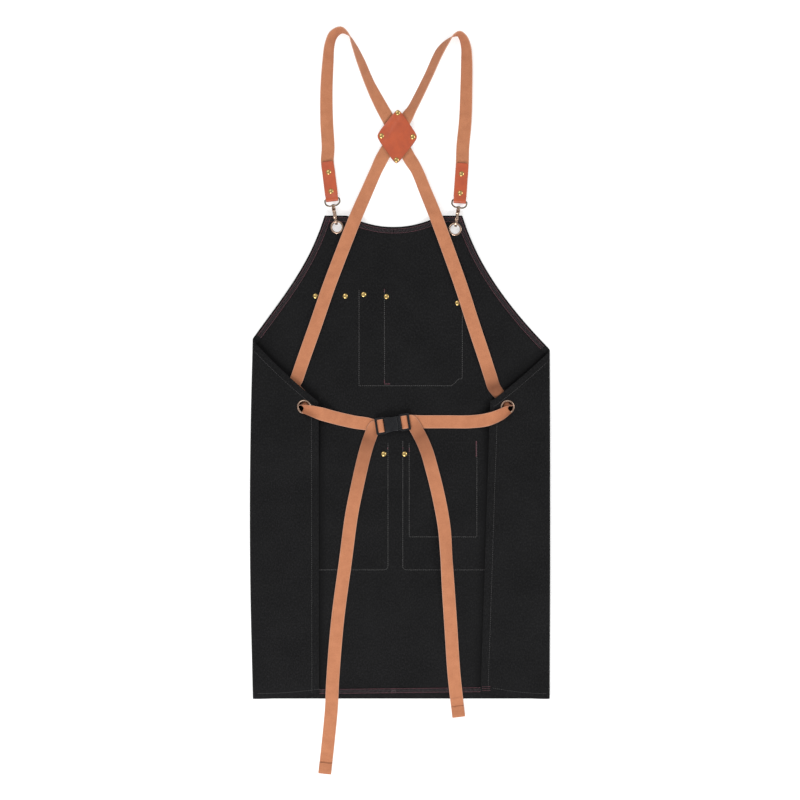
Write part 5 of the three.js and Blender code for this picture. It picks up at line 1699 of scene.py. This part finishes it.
@dataclass
class Rivets:
    """Brass tubular rivets: a low dome above, a rolled cap below and the shank between them."""

    finishes: Finishes
    upright: tuple = ("chest_rivet_left", "chest_rivet_middle", "chest_rivet_right", "loop_rivet_left",
                      "loop_rivet_right", "left_pocket_rivet_inner", "left_pocket_rivet_outer",
                      "right_pocket_rivet_inner", "right_pocket_rivet_outer", "patch_rivet_top",
                      "patch_rivet_right", "patch_rivet_bottom", "patch_rivet_left")
    dome: tuple = ((0, 1.3), (1.4, 1.2), (2.6, 0.92), (3.45, 0.5), (3.9, 0.15), (4, -0.02), (3.85, -0.12),
                   (3.5, -0.05), (1.4, 0))
    cap: tuple = ((1.4, 0), (3.4, 0), (3.9, -0.1), (3.95, -0.35), (3.4, -0.75), (1.6, -0.98), (0, -1))
    sides: int = 28

    def model(self, node: str, bottom: float, top: float, matrix: Matrix) -> None:
        """Spins one rivet between two leathers or cloths and puts it in its place."""
        profile = [(r, top + z) for r, z in self.dome] + [(r, bottom + z) for r, z in self.cap]
        rivet = spun(f"{node}_turned", profile, self.sides)
        smooth(settle(rivet, matrix))
        finish_piece(rivet, self.finishes.brass, stands_for=[node])

    def build(self) -> None:
        """Builds and dresses every rivet."""
        for node in self.upright:
            low, high = box_mm(node)
            x, y, _ = (low + high) / 2 * MM
            self.model(node, low[2] + 1, high[2] - 1.3, Matrix.Translation((x, y, 0)))
        reach = CLIP.tab_inside + DRAPE.leather + DRAPE.gap / 3
        for side in Side:
            for k, x in enumerate(CLIP.tab_rivets, 1):
                matrix = in_place(CLIP.tab_matrix(side) @ Matrix.Translation((x, 0, 0)))
                self.model(f"tab_rivet_{side.word}_{k}", -reach, reach, matrix)


@dataclass
class Grommets:
    """Rolled two-part grommets whose plating is worn to copper on both rims."""

    finishes: Finishes
    holes: dict = field(default_factory=lambda: {"bib": 7.5, "waist": 8.1})
    rim: float = 3.0
    slot: float = 0.9
    sides: int = 56

    def profile(self, hole: float) -> list[tuple[float, float]]:
        """The ring's section: flange, barrel and the washer's rolled lip."""
        outer, slot = hole + self.rim, self.slot
        return [(hole + 0.05, slot + 0.25), (hole + 0.3, slot + 0.75), (hole + 0.9, slot + 1.05),
                (hole + 1.6, slot + 1.1), (outer - 0.9, slot + 0.95), (outer - 0.35, slot + 0.6),
                (outer, slot + 0.1), (outer - 0.15, slot), (hole + 0.9, slot), (hole + 0.9, -slot),
                (outer - 0.3, -slot), (outer, -slot - 0.15), (outer - 0.2, -slot - 0.5),
                (hole + 1.5, -slot - 0.95), (hole + 0.5, -slot - 0.8), (hole, -slot + 0.6)]

    def build(self) -> None:
        """Builds and dresses the four grommets."""
        for zone, hole in self.holes.items():
            for side in Side:
                node = f"{zone}_grommet_{side.word}"
                low, high = box_mm(node)
                middle = Vector((low + high) / 2 * MM)
                ring = spun(f"{node}_turned", self.profile(hole), self.sides, closed=True)
                smooth(settle(ring, Matrix.Translation(middle)), 50)
                finish_piece(ring, self.finishes.antique, stands_for=[node])
                inner, outer = (hole + 0.5) * MM, (hole + self.rim - 0.5) * MM

                def wear_and_painted_shade(at: Vector, _: Vector) -> bool:
                    """Whether a face is on one of the rims."""
                    return not inner < (at - middle).xy.length < outer
                tint(ring, self.finishes.copper, wear_and_painted_shade)


@dataclass
class Clips:
    """The swivel snap hooks: loop, hook and spring gate."""

    finishes: Finishes
    lobe: float = 1.8
    hub: tuple = ((0, -4.4), (1.9, -4.3), (2.6, -3.5), (2.75, -2.2), (2.3, -1), (2.6, -0.35), (2.2, 0), (1.3, 0),
                  (1.3, 3.9), (0, 3.9))
    collar: tuple = ((0, 0.3), (2.7, 0.3), (3.2, 0.7), (3.2, 1.7), (2.8, 2.0), (3.2, 2.4), (3.2, 3.5),
                     (2.8, 4.3), (2.3, 5), (0, 5))
    arm: tuple = ((3.4, -1.07), (6.07, -3.81), (9, -6.15), (14.8, -6.15), (20.65, -6.15), (25.8, -5.5),
                  (26.8, -3.4), (26.8, 1.85), (24.3, 5.2), (21.0, 6.15))
    shoulder: tuple = ((3.4, 1.07), (5, 3.38), (6.56, 6.2))
    pivot: tuple = (7.2, 6.15)
    thumb: tuple = ((-2.4, 0.4), (-1.9, 1.5), (-1.3, 2.3), (-0.9, 1.95), (-0.5, 2.55), (0, 2.15), (0.5, 2.55),
                    (0.9, 1.95), (1.3, 2.3), (1.9, 1.5), (2.4, 0.4))
    thumb_x: float = 17.4
    gate_end: float = 20.4
    gate_half: float = 1.5
    fork: float = 1.8

    def across(self, name: str, radius: float, half: float) -> bpy.types.Object:
        """A round bar across the clip at the gate's pivot."""
        x, z = self.pivot
        return rod(name, radius, (x, -half, z), (x, half, z))

    def side_plate(self, name: str, outline: Points, half: float, edge: float) -> bpy.types.Object:
        """A bar drawn in side view, as wide as its two halves, with rounded edges."""
        bar = settle(plate(name, outline, -half, half), SIDE_VIEW)
        soften(bar, edge, 3, 50)
        return bar

    def build_loop(self, side: Side) -> None:
        """Bends the loop's wire, with its two lobes, and sets its hub on it."""
        half = (CLIP.loop_width - CLIP.loop_wire) / 2
        side_x = CLIP.bar_x + CLIP.loop_side
        turns = np.linspace(math.pi / 2, -math.pi / 2, 41)
        lobes = np.stack([side_x + (-side_x - CLIP.loop_wire / 2) * np.cos(turns), half * np.sin(turns)], -1)
        lobes[:, 0] -= self.lobe * np.exp(-((lobes[:, 1] / 3.2) ** 2))
        corner = [(CLIP.bar_x, half - 2.2), (CLIP.bar_x + 0.3, half - 0.9), (CLIP.bar_x + 0.9, half - 0.3),
                  (CLIP.bar_x + 2.2, half)]
        line = [(CLIP.bar_x, 0), *corner, *lobes, *((x, -y) for x, y in corner[::-1])]
        ring = wire(f"swivel_loop_{side.word}_bent", [(x, y, 0) for x, y in line], CLIP.loop_wire / 2, True)
        settle(ring, Matrix.Rotation(-CLIP.tilt, 4, "Y"))
        carve(ring, settle(spun("hub", self.hub, 28), ALONG_X), "UNION")
        smooth(settle(ring, in_place(CLIP.clip_matrix(side))))
        finish_piece(ring, self.finishes.bronze, stands_for=[f"swivel_loop_{side.word}"])
        back = in_place(CLIP.clip_matrix(side)).inverted()

        def on_hub(at: Vector, _: Vector) -> bool:
            """Whether a face belongs to the swivel's hub."""
            local = back @ at / MM
            return local.x > -2.6 and abs(local.y) < 2.8
        tint(ring, self.finishes.antique, on_hub)

    def build_hook(self, side: Side) -> None:
        """Shapes the hook: bowed arm, shoulder, forked cheeks, ringed collar and pin."""
        hook = self.side_plate(f"snap_hook_{side.word}_cast", band(curved(self.arm), CLIP.wire / 2),
                               CLIP.width / 2, 0.95)
        slim = 1 - CLIP.tip / CLIP.width
        for vertex in hook.data.vertices:
            vertex.co.y *= 1 - slim * (1 - float(near(vertex.co.x / MM, 9, 25)))
        parts = [self.side_plate("shoulder", band(curved(self.shoulder), CLIP.wire / 2), CLIP.width / 2, 0.8),
                 self.across("cheek", 1.9, CLIP.width / 2), settle(spun("collar", self.collar, 28), ALONG_X)]
        for part in parts:
            carve(hook, part, "UNION")
        x, z = self.pivot
        tools = [self.across("barrel_room", 2.4, self.fork), rod("bore", 1.6, (-1, 0, 0), (4.3, 0, 0)),
                 block("front_room", (x, x + 5.1), (-self.fork, self.fork), (z - 3.2, z + 3.2))]
        for tool in tools:
            carve(hook, tool)
        carve(hook, self.across("pin", 0.7, CLIP.width / 2 - DRAPE.gap), "UNION")
        smooth(settle(hook, in_place(CLIP.clip_matrix(side))))
        finish_piece(hook, self.finishes.antique, f"hook_{side.word}", [f"snap_hook_{side.word}"])

    def build_gate(self, side: Side) -> None:
        """Shapes the gate: a lever on its barrel with a ribbed thumb rest."""
        x, z = self.pivot
        line = curved([(x, z), ((x + self.gate_end) / 2, z + 0.2), (self.gate_end, z)])
        gate = self.side_plate(f"snap_gate_{side.word}_cast", band(line, 1.2), self.gate_half, 0.45)
        wide = self.side_plate("wide", band(line[line[:, 0] > x + 5.6], 1.1), 2.15, 0.5)
        carve(gate, wide, "UNION")
        thumb = [(self.thumb_x + a, z + b) for a, b in self.thumb]
        carve(gate, self.side_plate("thumb", thumb, 2.5, 0.3), "UNION")
        carve(gate, self.across("barrel", 1.7, self.gate_half), "UNION")
        carve(gate, self.across("pin_room", 1.0, 4))
        smooth(settle(gate, in_place(CLIP.clip_matrix(side))))
        finish_piece(gate, self.finishes.antique, f"gate_{side.word}", [f"snap_gate_{side.word}"])

    def build(self) -> None:
        """Builds and dresses both clips."""
        for side in Side:
            self.build_loop(side)
            self.build_hook(side)
            self.build_gate(side)


@dataclass
class Leathers:
    """The folded end tabs, the two diamonds at the crossing and the strip of the tool loop."""

    finishes: Finishes
    tab_line: tuple = ((7.5, 2.0), (4.2, 2.7), (1.3, 3.2), (-1.4, 2.95), (-2.95, 1.5), (-3.3, 0), (-2.95, -1.5),
                       (-1.4, -2.95), (1.3, -3.2), (4.2, -2.7), (7.5, -2.0))
    blunt: float = 0.055
    bulge: float = 0.03
    grid: int = 30

    def finish(self, piece: bpy.types.Object, edge: Callable[[Vector, Vector], bool],
               nodes: Sequence[str]) -> None:
        """Gives a leather piece its thickness, its softened edges and its raw cut sides."""
        modify(piece, "SOLIDIFY", thickness=DRAPE.leather * MM, offset=0)
        soften(piece, 0.35, 2, 55)
        smooth(piece)
        finish_piece(piece, self.finishes.leather, stands_for=nodes)
        tint(piece, self.finishes.leather_edge, edge)

    def build_tab(self, side: Side) -> None:
        """Folds a strip round the loop's bar, with both ends on the webbing."""
        length, half, corner = CLIP.tab_length, CLIP.tab_width / 2, CLIP.tab_corner
        rounding = [length - corner + corner * math.cos(a) for a in np.linspace(0, math.pi / 2, 7)]
        leaf = [(x, 1.9) for x in (*rounding, 48, 42.5, 37, 30, 24, 18, 12)]
        line = np.vstack([leaf, curved(self.tab_line, 3), [(x, -z) for x, z in leaf[::-1]]])
        matrix = np.array(CLIP.tab_matrix(side))
        columns = 12

        def place(i: Points, j: Points) -> tuple[Points, Points]:
            """Places each vertex by its share of the width and its step along the strip."""
            x, z = line[j].T
            beyond = np.clip(x - (length - corner), 0, corner)
            share = 2 * i / columns - 1
            y = share * (half - corner + np.sqrt(corner**2 - beyond**2))
            lobes = np.minimum(np.abs(x - CLIP.tab_rivets[0]), np.abs(x - CLIP.tab_rivets[1])) / 14
            lift = 0.45 * np.clip(lobes, 0, 1) * (1 - share**2) * near(x, length - 9, length) * near(-x, -9, -3)
            spot = np.stack([x, y, z + np.sign(z) * lift, np.ones_like(x)], -1) @ matrix.T
            return spot[:, :3], np.stack([y, j * 3.0], -1)

        tab = woven_grid(f"end_tab_{side.word}_folded", columns, len(line) - 1, place)
        back = in_place(CLIP.tab_matrix(side)).inverted()

        def cut_side(at: Vector, normal: Vector) -> bool:
            """Whether a face is on a cut edge of the strip."""
            local = back @ at
            return abs((back.to_3x3() @ normal).y) > 0.6 or local.x > (length - 0.6) * MM
        self.finish(tab, cut_side, [f"end_tab_{side.word}"])

    def build_patch(self, name: str, height: float, dome: float) -> None:
        """Cuts one diamond with blunted corners and slightly bowed edges."""
        turn = math.radians(PATCH.turn)

        def place(i: Points, j: Points) -> tuple[Points, Points]:
            """Places each vertex of the square grid, turned onto its corner."""
            u, v = 2 * i / self.grid - 1, 2 * j / self.grid - 1
            scale = 1 - self.blunt * np.abs(u * v) ** 6
            scale = scale * (1 + self.bulge * (u**2 * (1 - v**2) + v**2 * (1 - u**2)))
            a, b = (v - u) / 2 * scale * PATCH.half_width, (u + v) / 2 * scale * PATCH.half_height
            x = PATCH.x + a * math.cos(turn) - b * math.sin(turn)
            y = PATCH.y + a * math.sin(turn) + b * math.cos(turn)
            ridge = np.zeros_like(x)
            for side in Side:
                lean = math.radians(PATCH.angle[side])
                off = (x - PATCH.x - PATCH.shift[side]) * math.cos(lean) - side.value * (y - PATCH.y) * math.sin(lean)
                ridge = ridge + near(np.abs(off), 7.5, 13)
            inside = np.clip(3.5 * (1 - u**2), 0, 1) * np.clip(3.5 * (1 - v**2), 0, 1)
            curl = near(1 + np.minimum(u, v), 0, 0.14) * (1 - (np.maximum(u, v)) ** 4)
            z = height + dome * ((1 - u**2) * (1 - v**2) * 0.6 + 0.5 * ridge * inside + 0.6 * curl)
            return np.stack([x, y, z], -1), np.stack([a, b], -1)

        diamond = woven_grid(f"{name}_cut", self.grid, self.grid, place)
        self.finish(diamond, lambda at, normal: abs(normal.z) < 0.6, [name])

    def build_tool_loop(self) -> None:
        """Cuts the round-ended strip that is riveted below the bib."""
        box = TOOL_LOOP
        half = (box.top - box.bottom) / 2
        columns, rows = 44, 8

        def place(i: Points, j: Points) -> tuple[Points, Points]:
            """Places each vertex, with cosine steps so that the ends come out round."""
            reach = (box.right - box.left) / 2
            x = -reach * np.cos(np.pi * i / columns)
            beyond = np.clip(np.abs(x) - (reach - half), 0, half)
            y = (2 * j / rows - 1) * np.maximum(np.sqrt(np.maximum(half**2 - beyond**2, 0)), 1.2)
            spot = np.stack([x + (box.left + box.right) / 2, y + (box.top + box.bottom) / 2,
                             np.full_like(x, 1.9)], -1)
            return spot, np.stack([x, y], -1)

        strip = woven_grid("tool_loop_strip", columns, rows, place)
        self.finish(strip, lambda at, normal: abs(normal.z) < 0.6, ["tool_loop"])

    def build(self) -> None:
        """Builds and dresses every leather piece."""
        for side in Side:
            self.build_tab(side)
        half = DRAPE.leather / 2
        self.build_patch("cross_patch_bottom", PATCH.floor + half, 0)
        self.build_patch("cross_patch_top", PATCH.top + half, 0.9)
        self.build_tool_loop()


@dataclass
class Buckle:
    """The side-release buckle: a socket and a plug, each with a ladder for its webbing."""

    finishes: Finishes
    seam: float = 8
    wall: float = 1.8
    prong: tuple = ((9.8, 5.6), (9.8, 9.6), (2.2, 9.6), (-0.8, 11.4), (-1.8, 8.6), (-1.8, 5.6))
    crest: tuple = ((-12.2, -10), (-4.5, -10), (1.6, -1.2), (1.6, 1.2), (-4.5, 10), (-12.2, 10))
    waist: tuple = ((8, 1), (6.5, 0.75), (4.5, 0.1), (1.5, 0), (-1.5, 0.2), (-3.8, 0.9), (-5.5, 1))

    def ladder(self, sign: int) -> bpy.types.Object:
        """A frame with an inner and an outer bar."""
        half = DRAPE.web_width / 2 + BUCKLE.play
        frame_piece = plate("ladder", [(sign * x, y) for x, y in rounded(
            BUCKLE.half - self.wall, BUCKLE.end, half + BUCKLE.rail, 1.5)], -BUCKLE.ladder / 2, BUCKLE.ladder / 2)
        inner = BUCKLE.half + BUCKLE.slot
        outer = inner + BUCKLE.bar
        for low, high in ((BUCKLE.half, inner), (outer, outer + BUCKLE.outer_slot)):
            carve(frame_piece, block("slot", sorted((sign * low, sign * high)), (-half, half), (-9, 9)))
        soften(frame_piece, 0.55, 3, 50)
        return frame_piece

    def build_socket(self) -> None:
        """Moulds the hollow half, open at the seam and at both sides for the prongs."""
        half, low = BUCKLE.width / 2, -BUCKLE.half
        flank = [(x, half - 1 + r) for x, r in self.waist]
        outline = [*flank, *((low + 2 - 2 * math.cos(a), half - 2 + 2 * math.sin(a))
                             for a in np.linspace(math.pi / 2, 0, 6))]
        outline += [(x, -y) for x, y in outline[::-1]]
        shell = plate("buckle_socket_moulded", outline, -BUCKLE.thickness / 2, BUCKLE.thickness / 2)
        soften(shell, 1.1, 4, 50)
        crest = plate("crest", self.crest, BUCKLE.thickness / 2 - 1, BUCKLE.thickness / 2 + 0.5)
        soften(crest, 0.4, 3, 50)
        carve(shell, crest, "UNION")
        height = BUCKLE.thickness / 2 - self.wall
        inner = half - self.wall
        room = ((low + self.wall, BUCKLE.half), (-inner, inner), (-height, height))
        carve(shell, block("room", *room))
        carve(shell, block("windows", (-2.8, 6.2), (-2 * half, 2 * half), (-height, height)))
        rung = self.ladder(-1)
        carve(rung, block("room", *room))
        carve(shell, rung, "UNION")
        self.finish(shell, "buckle_socket")

    def build_plug(self) -> None:
        """Moulds the collar with its grip lines, its two prongs and the guide between them."""
        low, high = self.seam + DRAPE.gap, BUCKLE.half
        thick = BUCKLE.thickness / 2 - 0.3
        plug = plate("buckle_plug_moulded", rounded(low, high, BUCKLE.width / 2 - 0.6, 1.6), -thick, thick)
        soften(plug, 0.7, 3, 50)
        for x in (9.6, 10.9, 12.2):
            for z in (-thick - 0.05, thick + 0.05):
                carve(plug, rod("grip", 0.32, (x, -9, z), (x, 9, z), 10))
        height = BUCKLE.thickness / 2 - self.wall - DRAPE.gap
        for sign in (-1, 1):
            prong = plate("prong", [(x, sign * y) for x, y in self.prong], -height, height)
            soften(prong, 0.4, 2, 50)
            carve(plug, prong, "UNION")
        carve(plug, block("guide", (-1.8, 9.8), (-1.5, 1.5), (-height, height)), "UNION")
        carve(plug, self.ladder(1), "UNION")
        self.finish(plug, "buckle_plug")

    def finish(self, piece: bpy.types.Object, node: str) -> None:
        """Puts one half in its place and dresses it."""
        smooth(settle(piece, in_place(BUCKLE.matrix())), 35)
        finish_piece(piece, self.finishes.plastic, stands_for=[node])

    def build(self) -> None:
        """Builds and dresses both halves."""
        self.build_socket()
        self.build_plug()


@dataclass(frozen=True)
class PocketPlan:
    """One pocket's outline: flat sides, a top that may slope, and bottom corners cut or rounded."""

    node: str
    box: Box
    middle: float
    slant: float = 0.0
    chamfer: float = 0.0
    corner: float = 0.0

    def top(self, x: Points) -> Points:
        """The height of its mouth at a place across."""
        return self.box.top - self.slant * (x - self.box.left) / (self.box.right - self.box.left)

    def bottom(self, x: Points) -> Points:
        """Its lower edge at a place across."""
        box = self.box
        cut = np.maximum(x - (box.right - self.chamfer), 0)
        aside = np.maximum(np.maximum(box.left + self.corner - x, x - box.right + self.corner), 0)
        return box.bottom + cut + self.corner - np.sqrt(np.maximum(self.corner**2 - aside**2, 0))

    def seam(self, inset: float) -> Points:
        """The sewn line down one side, along the bottom and up the other."""
        left, right = self.box.left + inset, self.box.right - inset
        x = np.linspace(left, right, 60)
        low = self.bottom(np.clip(x, left, right - 0.3 * self.chamfer)) + inset
        ends = [(left, float(self.top(np.float64(left))) - 2), (right, float(self.top(np.float64(right))) - 2)]
        return line_between([ends[0], *zip(x, low), ends[1]])


POCKETS = (PocketPlan("chest_pocket", CHEST, 2.1, slant=14, chamfer=18),
           PocketPlan("left_pocket", LEFT_POCKET, 2.1, corner=8),
           PocketPlan("right_pocket", RIGHT_POCKET, 2.1, corner=8),
           PocketPlan("phone_pocket", PHONE_POCKET, 0.6, corner=3))


@dataclass
class Pockets:
    """The four patch pockets on the cloth's outside, sewn along their edges and below each mouth."""

    finishes: Finishes
    columns: int = 64
    rows: int = 48
    mouth: float = 14
    inset: float = 1.7

    def build_pocket(self, plan: PocketPlan) -> None:
        """Cuts one pocket, thickens it and sews its edges and its mouth."""
        box = plan.box

        def place(i: Points, j: Points) -> tuple[Points, Points]:
            """Places each vertex between the pocket's lower edge and its mouth."""
            x = box.left + (box.right - box.left) * (1 - np.cos(np.pi * i / self.columns)) / 2
            low, high = plan.bottom(x), plan.top(x)
            y = low + (high - low) * (1 - (1 - j / self.rows) ** 1.5)
            return np.stack([x, y, np.full_like(x, plan.middle)], -1), np.stack([x, y], -1)

        piece = woven_grid(f"{plan.node}_cloth", self.columns, self.rows, place)
        modify(piece, "SOLIDIFY", thickness=DRAPE.cloth * MM, offset=0)
        soften(piece, 0.3, 2, 60)
        smooth(piece)
        finish_piece(piece, self.finishes.canvas, stands_for=[plan.node])
        x = np.linspace(box.left, box.right, 200)
        area = float(np.mean(plan.top(x) - plan.bottom(x))) * (box.right - box.left)
        size = ((box.right - box.left) * MM, (box.top - float(plan.bottom(x).min())) * MM)
        seam = plan.seam(self.inset)
        mouth = np.stack([x[4:-4], plan.top(x[4:-4]) - self.mouth], -1)
        below = plan.middle - DRAPE.cloth / 2 - 0.05
        threads = []
        for line in (seam, mouth):
            spots = np.column_stack([line, np.full(len(line), below)])
            threads += Stitch(pitch=3.1, length=2.5, radius=0.33).run(spots, -UP)
        sewn = Stitch(radius=0.33).sew(f"{plan.node}_outer_stitches", threads)
        finish_piece(sewn, self.finishes.grey_thread)

    def build(self) -> None:
        """Builds and dresses the pockets."""
        for plan in POCKETS:
            self.build_pocket(plan)


@dataclass
class Sewing:
    """The threads on the cloth's visible faces: pocket seams, overlocked hems, rows and bartacks."""

    finishes: Finishes
    cloth: ApronCloth
    inset: float = 1.7
    rows: tuple = (2.9, 9.3)
    hem_lift: float = 1.42
    divider: float = -14.3
    divider_ends: tuple = (-116, -264.5)
    bars: tuple = (((divider, -114.6), (divider, -120), 1.6), ((divider, -258), (divider, -264), 1.2),
                   ((-14.6, -264.6), (-5.5, -264.4), 1.4), ((25, -365), (25, -371), 1.2),
                   ((130.4, -354), (130.4, -379), 1.9), ((-9.3, -364), (-9.2, -367), 1.1),
                   ((14.7, -364), (14.8, -367), 1.1))
    bar_pitch: float = 0.75
    corner_rows: tuple = (-741.5, -744.5, -747.5)

    def on_main(self, line: Points, lift: float = 0.68) -> Points:
        """Points of the main layer's inside face, from flat places across and along."""
        right = DRAPE.place(Side.RIGHT, np.abs(line[:, 0]), line[:, 1], lift)
        left = DRAPE.place(Side.LEFT, np.abs(line[:, 0]), line[:, 1], lift)
        return np.where(line[:, :1] < 0, left, right)

    def on_panel(self, side: Side, line: Points, lift: float = -0.68) -> Points:
        """Points of a folded-in panel's outer face."""
        return DRAPE.place(side, line[:, 0], line[:, 1], lift)

    def sew(self, name: str, threads: Threads, material: bpy.types.Material, radius: float = 0.33) -> None:
        """Sews and dresses one group of stitches."""
        finish_piece(Stitch(radius=radius).sew(name, threads), material)

    @staticmethod
    def aside(line: Points, distance: float) -> Points:
        """A flat line moved sideways, to the right of its heading."""
        run = np.gradient(line, axis=0)
        normal = np.stack([run[:, 1], -run[:, 0]], -1) / np.linalg.norm(run, axis=1, keepdims=True)
        return line + normal * distance

    @staticmethod
    def rungs(first: Points, second: Points, pitch: float, up: Points) -> Threads:
        """Cross stitches between two lines, a pitch apart, each leaning a little forward."""
        reach = np.concatenate([[0], np.cumsum(np.linalg.norm(np.diff(first, axis=0), axis=1))])
        count = int(reach[-1] / pitch)
        spots = (np.arange(count) + 0.5) * pitch
        ahead = np.minimum(spots + pitch * 0.55, reach[-1])
        a = np.stack([np.interp(spots, reach, first[:, c]) for c in range(3)], -1)
        b = np.stack([np.interp(ahead, reach, second[:, c]) for c in range(3)], -1)
        return [(p, q, up) for p, q in zip(a, b)]

    def sew_seams(self) -> None:
        """The pockets' seams, which show on the inside."""
        threads = []
        lines = [plan.seam(self.inset) for plan in POCKETS]
        lines.append(line_between([(self.divider, y) for y in self.divider_ends]))
        for line in lines:
            threads += Stitch(pitch=3.1, length=2.4, radius=0.3).run(self.on_main(line), UP)
        self.sew("pocket_stitches", threads, self.finishes.grey_thread, 0.3)

    def sew_overlock(self) -> None:
        """Burgundy overlocking on the turned hems: two border rows and the cross stitches between them."""
        borders, crosses = [], []
        for side in Side:
            fold = float(DRAPE.spans(side, ARMHOLE_LEVEL)[0])
            neck = self.cloth.edge_line(side, 0, DRAPE.bib_half)
            arm = self.cloth.edge_line(side, DRAPE.bib_half, fold - 2)
            low = np.linspace(-4, float(DRAPE.panel_edge(side, HEM_LEVEL)) + 6, 90)
            slope = 0.012 * side.value * low
            bottom = np.stack([low, slope - DRAPE.height + 6], -1)
            for line, direction, lift in ((neck, 1, self.hem_lift), (arm, 1, self.hem_lift + 0.12),
                                          (bottom, -1, self.hem_lift)):
                rows = [DRAPE.place(side, *self.aside(line, direction * d).T, lift) for d in self.rows]
                for row in rows:
                    borders += Stitch(pitch=2.2, length=2.15, radius=0.42).run(row, UP)
                crosses += self.rungs(rows[0], rows[1], 2.0, UP)
        self.sew("overlock_borders", borders, self.finishes.red_thread, 0.4)
        self.sew("overlock_crosses", crosses, self.finishes.red_pale, 0.3)

    def sew_panels(self) -> None:
        """Grey rows on the folded-in panels' outer face."""
        threads = []
        for side in Side:
            _, turned, edge = (float(v) for v in DRAPE.spans(side, PANEL_LEVEL))
            y = np.linspace(-DRAPE.height + DRAPE.hem_rise[side] + 2, -DRAPE.armhole_drop - 12, 110)
            inner = np.stack([DRAPE.spans(side, y)[2] - 11, y], -1)
            arm = self.aside(self.cloth.edge_line(side, turned + 1, edge - 1), 9.2)
            half = np.linspace(turned + 1, edge - 1, 40)
            share = (half - turned) / (edge - turned)
            low = np.stack([half, DRAPE.hem_rise[side] * share**2 - DRAPE.height + 8.5], -1)
            for line in (inner, arm, low):
                threads += Stitch(pitch=3.3, length=2.5, radius=0.28).run(self.on_panel(side, line), UP)
        self.sew("panel_stitches", threads, self.finishes.dark_thread, 0.28)

    def sew_bartacks(self) -> None:
        """Short dense burgundy bars at the pockets' corners and on the hem's end."""
        threads = []
        for start, end, width in self.bars:
            line = line_between([start, end], self.bar_pitch)
            left, right = self.aside(line, -width / 2), self.aside(line, width / 2)
            threads += self.rungs(self.on_main(left, 0.8), self.on_main(right, 0.8), self.bar_pitch, UP)
        side = Side.RIGHT
        turned = float(DRAPE.spans(side, np.float64(-745.0))[2])
        for y in self.corner_rows:
            line = np.stack([np.linspace(turned - 1.5, turned - 15, 12), np.full(12, y)], -1)
            threads += Stitch(pitch=2.2, length=2.0, radius=0.4).run(self.on_panel(side, line, -0.8), UP)
        self.sew("bartacks", threads, self.finishes.red_thread, 0.36)

    def build(self) -> None:
        """Sews everything."""
        self.sew_seams()
        self.sew_overlock()
        self.sew_panels()
        self.sew_bartacks()


@dataclass
class Stage:
    """The floor, the soft lights and the camera straight above."""

    view_width: float = 1.26
    view_centre: tuple = (0.0, 0.001575)
    focus_height: float = 0.004
    lens: float = 85
    sensor: float = 36
    floor_size: float = 12
    floor_height: float = -0.0004
    sky: float = 0.66
    lights: tuple = (("key_light", (-0.7, -2.4, 1.9), 1.3, 74), ("side_light", (2.3, 0.5, 1.7), 1.2, 26),
                     ("top_light", (-1.2, 2.0, 2.6), 1.6, 26))

    def build_camera(self) -> None:
        """Hangs the camera above the middle of the picture."""
        deselect()
        distance = self.view_width / 2 / (self.sensor / 2 / self.lens)
        bpy.ops.object.camera_add(location=(*self.view_centre, distance + self.focus_height), rotation=(0, 0, 0))
        camera = bpy.context.object
        camera.name = "camera"
        camera.data.lens = self.lens
        camera.data.sensor_width = self.sensor
        bpy.context.scene.camera = camera

    def build_floor(self) -> None:
        """Lays the pale floor just below the apron."""
        deselect()
        bpy.ops.mesh.primitive_plane_add(size=self.floor_size, location=(0, 0, self.floor_height))
        floor = added("floor")
        floor.data.materials.append(FloorFinish().material())

    def build_light(self, name: str, place: Sequence[float], size: float, power: float) -> None:
        """Adds a square soft light that faces the apron."""
        deselect()
        turn = (-Vector(place)).to_track_quat("-Z", "Y").to_euler()
        bpy.ops.object.light_add(type="AREA", location=place, rotation=turn)
        light = bpy.context.object
        light.name = name
        light.data.size = size
        light.data.energy = power

    def build(self) -> None:
        """Builds the whole stage."""
        self.build_camera()
        self.build_floor()
        for light in self.lights:
            self.build_light(*light)
        sky = bpy.data.worlds.new("studio")
        sky.use_nodes = True
        background = sky.node_tree.nodes["Background"].inputs
        background["Color"].default_value = (1, 1, 1, 1)
        background["Strength"].default_value = self.sky
        bpy.context.scene.world = sky
        bpy.context.scene.view_settings.view_transform = "Standard"


def main() -> None:
    """Builds every piece in order."""
    logging.basicConfig(level=logging.INFO, format="%(name)s: %(message)s")
    Stage().build()
    finishes = Finishes()
    Pockets(finishes).build()
    cloth = ApronCloth(finishes)
    cloth.build()
    Sewing(finishes, cloth).build()
    for side in Side:
        Strap(side, finishes).build()
    for part in (Leathers, Grommets, Clips, Rivets, Buckle):
        part(finishes).build()


if __name__ == "__main__":
    main()
